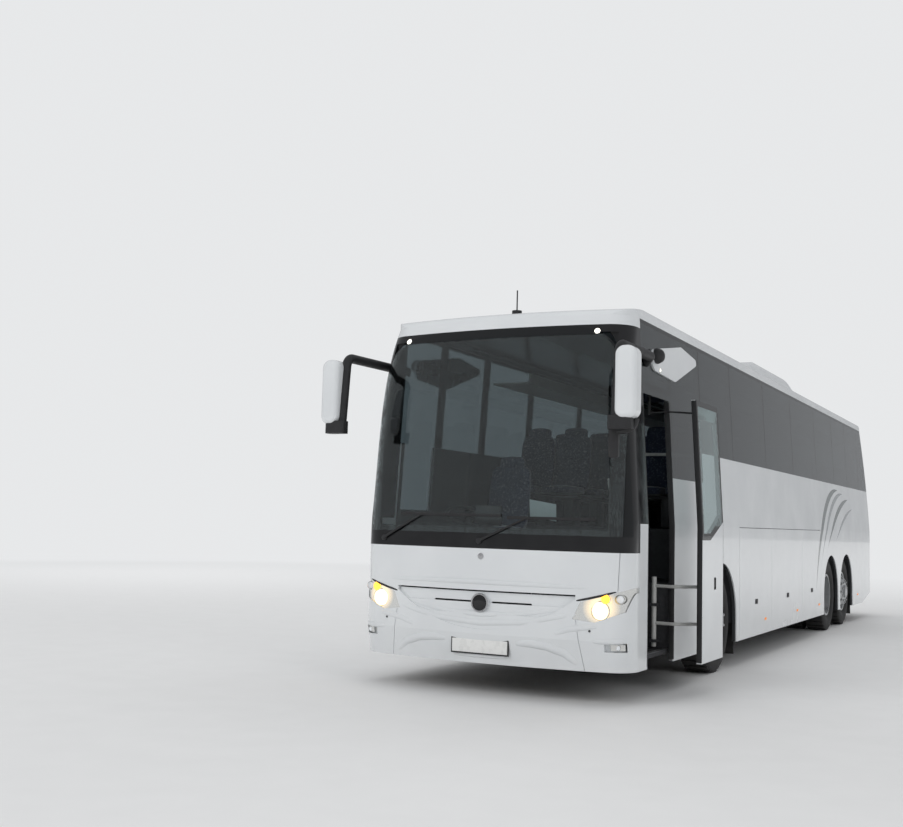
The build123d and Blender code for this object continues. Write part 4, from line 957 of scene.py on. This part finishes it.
# The same for the creases that both sides have, with their finish
SIDE_CREASES = (
    ("bumper_lip", ((0.33, 0.470), (0.45, 0.476), (0.60, 0.462), (0.74, 0.415), (0.84, 0.335)),
     0.050, 0.016, PAINT),
    ("cheek_lip", ((0.66, 0.560), (0.78, 0.605), (0.90, 0.625), (1.02, 0.640)), 0.034, 0.012, PAINT),
    ("fog_lip", ((0.98, 0.520), (1.10, 0.522), (1.20, 0.526)), 0.026, 0.010, PAINT),
    ("lamp_brow", ((0.84, 0.838), (0.95, 0.862), (1.06, 0.890), (1.16, 0.922)), 0.010, 0.008, PLASTIC),
)
CREASE_STEPS = 6


def crease(name, places, radius, rise, finish=PAINT):
    """A raised line on the front along places across and in height, fading at its ends."""
    steps = (len(places) - 1) * CREASE_STEPS
    points = []
    for step in range(steps + 1):
        start = min(step // CREASE_STEPS, len(places) - 2)
        share = step / CREASE_STEPS - start
        x, z = (here + (there - here) * share for here, there in zip(places[start], places[start + 1]))
        depth = radius + 0.001 - rise * sin(pi * step / steps) ** 0.5
        points.append(front_of(FRONT_NODES, x, z)[0] + BACKWARD * depth)
    dress(tube(name, points, radius), finish)


def front_creases():
    """The raised lines of the mask, grille and bumper, and the dark brows over the lamps."""
    for name, places, radius, rise in CREASES:
        crease(name, places, radius, rise)
    for name, places, radius, rise, finish in SIDE_CREASES:
        for side, sign in SIDES:
            crease(f"{name}_{side}", [(sign * x, z) for x, z in places], radius, rise, finish)


front_creases()


def plate(name, spot, outward, finish):
    """A blank number plate of 520 by 111 mm in its holder."""
    for label, half, rise, depth, look in (
        ("holder", 0.272, 0.068, 0.012, PLASTIC),
        ("sheet", 0.260, 0.0555, 0.016, finish),
    ):
        near, far = sorted((0, outward * depth))
        fitted(f"{name}_{label}", (-half, near, -rise), (half, far, rise), 0.003, 2, look, spot=spot)


# Round pieces on the middle of the front: node, height, profile, steps and finish
RIM_PROFILE = ((0, 0.080), (0.010, 0.080), (0.013, 0.074), (0.010, 0.067), (0.004, 0.065), (0, 0.080))
DISC_PROFILE = ((0.003, 0.067), (0.006, 0.060), (0.008, 0.030), (0.009, 0))
BUTTON_PROFILE = ((-0.002, 0.027), (0.004, 0.026), (0.006, 0.020), (0.004, 0.016), (0.007, 0))
NOZZLE_PROFILE = ((0, 0.010), (0.004, 0.009), (0.006, 0))
ROUND_FITTINGS = (
    ("badge_rim", "grille", 0.78, RIM_PROFILE, 64, NUT),
    ("badge_disc", "grille", 0.78, DISC_PROFILE, 64, GLOSS_BLACK),
    ("nose_cap", "front_mask", 1.17, BUTTON_PROFILE, 40, NUT),
)


def front_fittings():
    """The blank plate, the plain round badge place, the small cap and the washers' nozzles."""
    spot, _ = front_of(("front_bumper",), 0, 0.415)
    plate("front_plate", spot + BACKWARD * 0.004, -1, PLATE)
    for name, node, z, profile, steps, finish in ROUND_FITTINGS:
        dress(turned(name, profile, *front_of((node,), 0, z), steps), finish)
    for side, sign in SIDES:
        spot, normal = front_of(FRONT_NODES, sign * 0.96, 0.60)
        dress(turned(f"washer_{side}", NOZZLE_PROFILE, spot, normal, 24), PLASTIC)


front_fittings()

# Wipers: the pivot and the end of each arm on its blade, across and in height
WIPER_ARMS = (((-1.02, 1.30), (-0.60, 1.518)), ((-0.02, 1.30), (0.42, 1.503)))
WIPER_LIFT = Vector((0, -0.016, 0))
PIVOT_PROFILE = ((-0.004, 0.028), (0.012, 0.027), (0.020, 0.020), (0.023, 0))


def wiper_arms():
    """The arm, the pivot's cap and the blade's clip of each wiper."""
    for number, (pivot, end) in enumerate(WIPER_ARMS):
        root, normal = front_of(SCREEN_NODES, *pivot)
        tip, _ = front_of(SCREEN_NODES, *end)
        knee, middle = root.lerp(tip, 0.12) + WIPER_LIFT * 1.6, (root + tip) / 2 + WIPER_LIFT * 1.4
        stops = [root + WIPER_LIFT, knee, middle, tip + WIPER_LIFT]
        arm = tube(f"wiper_arm_{number}", stops, 0.009, [1.5, 1.3, 1, 0.8])
        cap = turned(f"wiper_cap_{number}", PIVOT_PROFILE, root, normal, 32)
        clip = block(f"wiper_clip_{number}", (-0.045, -0.020, -0.010), (0.045, -0.004, 0.012), tip)
        dress(joined(f"wiper_arm_{number}", [arm, cap, rounded(clip, 0.004, 2)]), PLASTIC)


wiper_arms()

# Mirrors: the middle of a shell's pane from the nose, and the heights of its two panes
MIRROR_X, MIRROR_STATION = 1.382, -0.195
PANES = (("upper", 2.50, 2.84), ("lower", 2.32, 2.48))
KNOB_PROFILE = ((-0.06, 0.030), (-0.03, 0.062), (0, 0.070), (0.035, 0.060), (0.060, 0.034), (0.068, 0))


def mirror_details():
    """The glass in each shell, the low mirror and each fairing's knob and small lamp."""
    bracket = ((1.435, -0.200, 2.30), (1.420, -0.200, 2.225), (1.33, -0.200, 2.20), (1.255, -0.200, 2.20))
    rail("low_mirror_bracket", bracket, 0.026, PLASTIC)
    fitted("low_mirror", (1.210, -0.228, 1.990), (1.292, -0.172, 2.235), 0.018, 4, PLASTIC, spot=NOSE)
    pane = block("low_mirror_pane", (1.220, -0.174, 2.005), (1.282, -0.168, 2.220), NOSE)
    dress(rounded(pane, 0.015, 4, edges_along(1)), MIRROR)
    for side, sign in SIDES:
        middle = Vector((sign * MIRROR_X, y_at(MIRROR_STATION), 0))
        for label, low_z, high_z in PANES:
            pane = block(f"mirror_{label}_{side}", (-0.066, -0.004, low_z), (0.066, 0.004, high_z), middle)
            dress(rounded(pane, 0.022, 5, edges_along(1)), MIRROR)
        spot = Vector((sign * 1.225, y_at(0.955), 2.965))
        dress(turned(f"fairing_knob_{side}", KNOB_PROFILE, spot, (sign, -0.5, 0), 36), PLASTIC)
        spot, normal = side_of("mirror_shells", sign, 1.06, 2.850)
        lens(f"fairing_lamp_{side}", spot, normal, 0.016, 0.006, LAMP_MARKER)


mirror_details()

# Entrance door, at its open place
LEAF_FRONT_Y, LEAF_LENGTH, LEAF_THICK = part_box("entrance_door")[0][1], 0.700, 0.045
LEAF_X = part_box("entrance_door")[1][0]
DOOR_FOOT_Z, DOOR_TOP_Z = 0.285, 2.590
DOORWAY_FRONT, DOORWAY_REAR = 0.612, 1.340
HANDLE_Y, HANDLE_Z = LEAF_FRONT_Y + 0.422, 0.960

# The steps' edges: places across and heights
STEPS = ((1.205, 0.370), (0.800, 0.565), (0.575, 0.760))
ENTRANCE_RAIL = (
    (1.02, 0.66, 0.42), (1.02, 0.64, 0.85), (1.00, 0.64, 1.35), (0.92, 0.64, 1.75), (0.92, 0.60, 1.86)
)
STEP_RAIL = (
    (0.98, 1.385, 0.95), (0.98, 1.365, 1.02), (0.95, 1.365, 1.60), (0.90, 1.365, 2.20), (0.90, 1.40, 2.30)
)


def seal(name, y_low, y_high, shift, width, body="coach_body"):
    """An upright rubber strip of the door's height that follows the body's side."""
    outer = BODY_HALF + shift
    piece = block(name, (outer - width, y_low, DOOR_FOOT_Z), (outer, y_high, WAIST_Z))
    choose(piece, lambda spot, normal: normal.z > 0.9)
    move = (half_width(DOOR_TOP_Z) - BODY_HALF, 0, DOOR_TOP_Z - WAIST_Z)
    bpy.ops.mesh.extrude_region_move(TRANSFORM_OT_translate={"value": move})
    done()
    dress(rounded(piece, 0.003, 2), PLASTIC, body)


def door_trim():
    """The seals on the leaf's edges and the handle in its pocket."""
    rear_y = LEAF_FRONT_Y + LEAF_LENGTH
    for name, low, high in (
        ("front", LEAF_FRONT_Y - 0.004, LEAF_FRONT_Y + 0.010),
        ("rear", rear_y - 0.010, rear_y + 0.004),
    ):
        seal(f"leaf_seal_{name}", low, high, LEAF_X - BODY_HALF, LEAF_THICK + 0.001, "entrance_door")
    handle = Vector((LEAF_X, HANDLE_Y, HANDLE_Z))
    black_on_leaf = {"finish": PLASTIC, "body": "entrance_door", "spot": handle}
    fitted("handle_pocket", (-0.018, -0.030, -0.050), (-0.012, 0.030, 0.050), 0.002, 2, **black_on_leaf)
    surround = block("handle_frame", (-0.012, -0.036, -0.056), (0, 0.036, 0.056), handle)
    choose(surround, lambda spot, normal: normal.x > 0.9)
    bpy.ops.mesh.inset(thickness=0.009)
    bpy.ops.mesh.extrude_region_move(TRANSFORM_OT_translate={"value": (-0.009, 0, 0)})
    done()
    dress(rounded(surround, 0.0015, 2), GLOSS_BLACK, "entrance_door")
    fitted("handle_lever", (-0.012, -0.016, -0.035), (-0.002, 0.016, 0.035), 0.004, 3, **black_on_leaf)


def doorway_trim():
    """Step edges and treads, the rails beside the steps and the doorway's seals."""
    for number, (edge_x, z) in enumerate(STEPS):
        edge = Vector((edge_x, NOSE_Y, z))
        nosing = ((-0.040, 0.575, -0.008), (0.006, 1.372, 0.006), 0.003, 2)
        fitted(f"step_edge_{number}", *nosing, STEEL, spot=edge)
        for bar in range(3):
            middle = edge - Vector((0.060 + bar * 0.045, 0, 0))
            rib = ((-0.012, 0.60, -0.002), (0.012, 1.36, 0.004), 0.002, 1)
            fitted(f"tread_rib_{number}_{bar}", *rib, PLASTIC, spot=middle)
    rail("entrance_rail", ENTRANCE_RAIL)
    rail("step_rail", STEP_RAIL)
    seal("door_post_seal", y_at(DOORWAY_REAR) - 0.006, y_at(DOORWAY_REAR) + 0.012, 0.001, 0.050)
    seal("door_front_seal", y_at(DOORWAY_FRONT) - 0.012, y_at(DOORWAY_FRONT) + 0.004, 0.001, 0.050)


door_trim()
doorway_trim()

# Along the sides: the stations of the small lamps and of the mud flaps
SIDE_LAMPS = (2.15, 4.90, 6.70, 8.20, 11.6)
MUD_FLAPS = (("front", 3.625), ("tag", 11.155))
MUD_FLAP_X, MUD_FLAP_TOP_Z, MUD_FLAP_FOOT_Z = 1.07, 0.52, 0.13
MUD_FLAP_LEAN = 0.12


def low_panel_at(side, station):
    """The node low on a side at a station: a luggage flap, or the panels beside them."""
    for number, (start, end) in enumerate(zip(FLAP_EDGES, FLAP_EDGES[1:]), 1):
        if start < station < end:
            return f"luggage_flap_{side}_{number}"
    return "lower_panels"


def side_fittings():
    """Flap handles, side marker lamps and the mud flaps."""
    for side, sign in SIDES:
        for number, (start, end) in enumerate(zip(FLAP_EDGES, FLAP_EDGES[1:]), 1):
            body = f"luggage_flap_{side}_{number}"
            spot, _ = side_of(body, sign, (start + end) / 2, 0.65)
            bezel_size = ((-0.004, -0.055, -0.028), (0.004, 0.055, 0.028))
            bezel = block(f"flap_bezel_{side}_{number}", *bezel_size, spot)
            rounded(bezel, 0.010, 3, edges_along(0))
            grip_size = ((sign * 0.002 - 0.002, -0.040, -0.014), (sign * 0.006 + 0.002, 0.040, 0.010))
            grip = rounded(block(f"flap_grip_{side}_{number}", *grip_size, spot), 0.002, 2)
            dress(joined(f"flap_handle_{side}_{number}", [bezel, grip]), PLASTIC, body)
        for number, station in enumerate(SIDE_LAMPS):
            node = low_panel_at(side, station)
            spot, _ = side_of(node, sign, station, 0.43)
            body = "coach_body" if node == "lower_panels" else node
            lamp = ((-0.005, -0.045, -0.014), (0.005, 0.045, 0.014), 0.004, 3)
            fitted(f"side_lamp_{side}_{number}", *lamp, LAMP_SIDE, body, spot=spot)
        for label, station in MUD_FLAPS:
            low, high = (-0.15, 0, MUD_FLAP_FOOT_Z), (0.15, 0.008, MUD_FLAP_TOP_Z)
            foot = (sign * MUD_FLAP_X, y_at(station), 0)
            flap = subdivided(block(f"mud_flap_{label}_{side}", low, high, foot), 6)
            for vertex in flap.data.vertices:
                vertex.co.y += MUD_FLAP_LEAN * max(0.0, MUD_FLAP_TOP_Z - vertex.co.z) ** 2
            dress(rounded(flap, 0.0015, 1), RUBBER)


side_fittings()

# The lenses of each rear lamp: height and finish
REAR_LENSES = ((0.905, LAMP_CLEAR), (1.045, LAMP_SIDE), (1.185, LAMP_RED), (1.315, LAMP_RED))
REAR_LAMP_X = 1.04


def rear_fittings():
    """Rear lenses, reflectors, the lid's catches, the plate and the lamps over the window."""
    for side, sign in SIDES:
        for number, (z, finish) in enumerate(REAR_LENSES):
            spot, _ = rear_of("rear_lamps", sign * REAR_LAMP_X, z)
            lens(f"rear_lens_{side}_{number}", spot, BACKWARD, 0.050, 0.0006, finish, ring_rise=0.1)
        spot, _ = rear_of("rear_panel", sign * REAR_LAMP_X, 1.62)
        reflector = ((-0.06, -0.010, -0.022), (0.06, 0.0012, 0.022), 0.0008, 1)
        fitted(f"rear_reflector_{side}", *reflector, LAMP_RED, spot=spot)
        spot, normal = rear_of("rear_panel", sign * 0.85, 3.12)
        lens(f"rear_marker_{side}", spot, normal, 0.024, 0.008, LAMP_RED)
        spot, _ = rear_of("engine_lid", sign * 0.62, 1.76)
        catch = ((-0.04, -0.006, -0.022), (0.04, 0.008, 0.022), 0.004, 3)
        fitted(f"lid_catch_{side}", *catch, PLASTIC, "engine_lid", spot=spot)
    spot, _ = rear_of("rear_panel", 0.0, 3.14)
    fitted("high_stop_lamp", (-0.16, -0.010, -0.018), (0.16, 0.008, 0.018), 0.006, 3, LAMP_RED, spot=spot)
    spot, _ = rear_of("rear_panel", 0.0, 1.99)
    plate("rear_plate", spot + BACKWARD * 0.003, 1, PLATE_REAR)


rear_fittings()

# Fan guards: stations, distance from the middle, radius of the outer ring and the step to the next
FAN_STATIONS, FAN_X = (6.95, 7.85), 0.38
FAN_RADIUS, FAN_STEP = 0.235, 0.045
GUARD_RISE = 0.0006


def roof_fans():
    """Round fan guards on the air-conditioning unit, rings and spokes."""
    for number, station in enumerate(FAN_STATIONS):
        for side, sign in SIDES:
            spot, _ = meets("roof_unit", (sign * FAN_X, y_at(station), 5), -UPWARD)
            parts = []
            for ring in range(5):
                outer = FAN_RADIUS - ring * FAN_STEP
                foot, inner = (-0.006, outer), outer - 0.010
                top = ((0.0004, outer), (GUARD_RISE, outer - 0.004), (0.0004, inner), (-0.006, inner))
                parts.append(turned("fan_ring", (foot, *top, foot), spot, UPWARD))
            hub_profile = ((-0.006, 0.045), (GUARD_RISE, 0.043), (GUARD_RISE, 0))
            parts.append(turned("fan_hub", hub_profile, spot, UPWARD, 32))
            sunk = spot - UPWARD * 0.0034
            for spoke in range(6):
                angle = pi * spoke / 3
                rim = sunk + Vector((cos(angle), sin(angle), 0)) * 0.23
                parts.append(tube("fan_spoke", [sunk, (sunk + rim) / 2, rim], 0.004))
            dress(joined(f"fan_guard_{number}_{side}", parts), PLASTIC)


roof_fans()

CARD_FOOT = (0.42, y_at(0.33), 1.50)
DIAL_PLACES = (-0.82, -0.66, -0.50)
DIAL_PROFILE = ((-0.004, 0.060), (0.006, 0.060), (0.008, 0.054), (0.002, 0.050), (0.002, 0))
GUARD_RAIL = (
    (0.34, 2.28, 1.44), (0.34, 2.28, 2.10), (0.40, 2.28, 2.18), (1.00, 2.28, 2.18), (1.12, 2.28, 2.16)
)


def cab_details():
    """The card behind the windscreen, the dials, the dashboard's screen and the front row's rail."""
    card = subdivided(block("window_card", (0.30, 0.33, 1.50), (0.55, 0.333, 1.66), NOSE), 3)
    leaned(card, -24, "X", CARD_FOOT)
    leaned(card, -9, "Y", CARD_FOOT)
    dress(rounded(card, 0.001, 1), CARD)
    for number, x in enumerate(DIAL_PLACES):
        dial = turned(f"dial_{number}", DIAL_PROFILE, (x, y_at(0.78), 1.37), (0, 0.9, 0.4), 36)
        dress(dial, GLOSS_BLACK)
    screen = ((-0.40, 0.66, 1.43), (-0.14, 0.70, 1.61), 0.008, 3)
    fitted("dash_screen", *screen, GLOSS_BLACK, slot="black_plastic", spot=NOSE)
    rail("front_guard_rail", GUARD_RAIL)


cab_details()
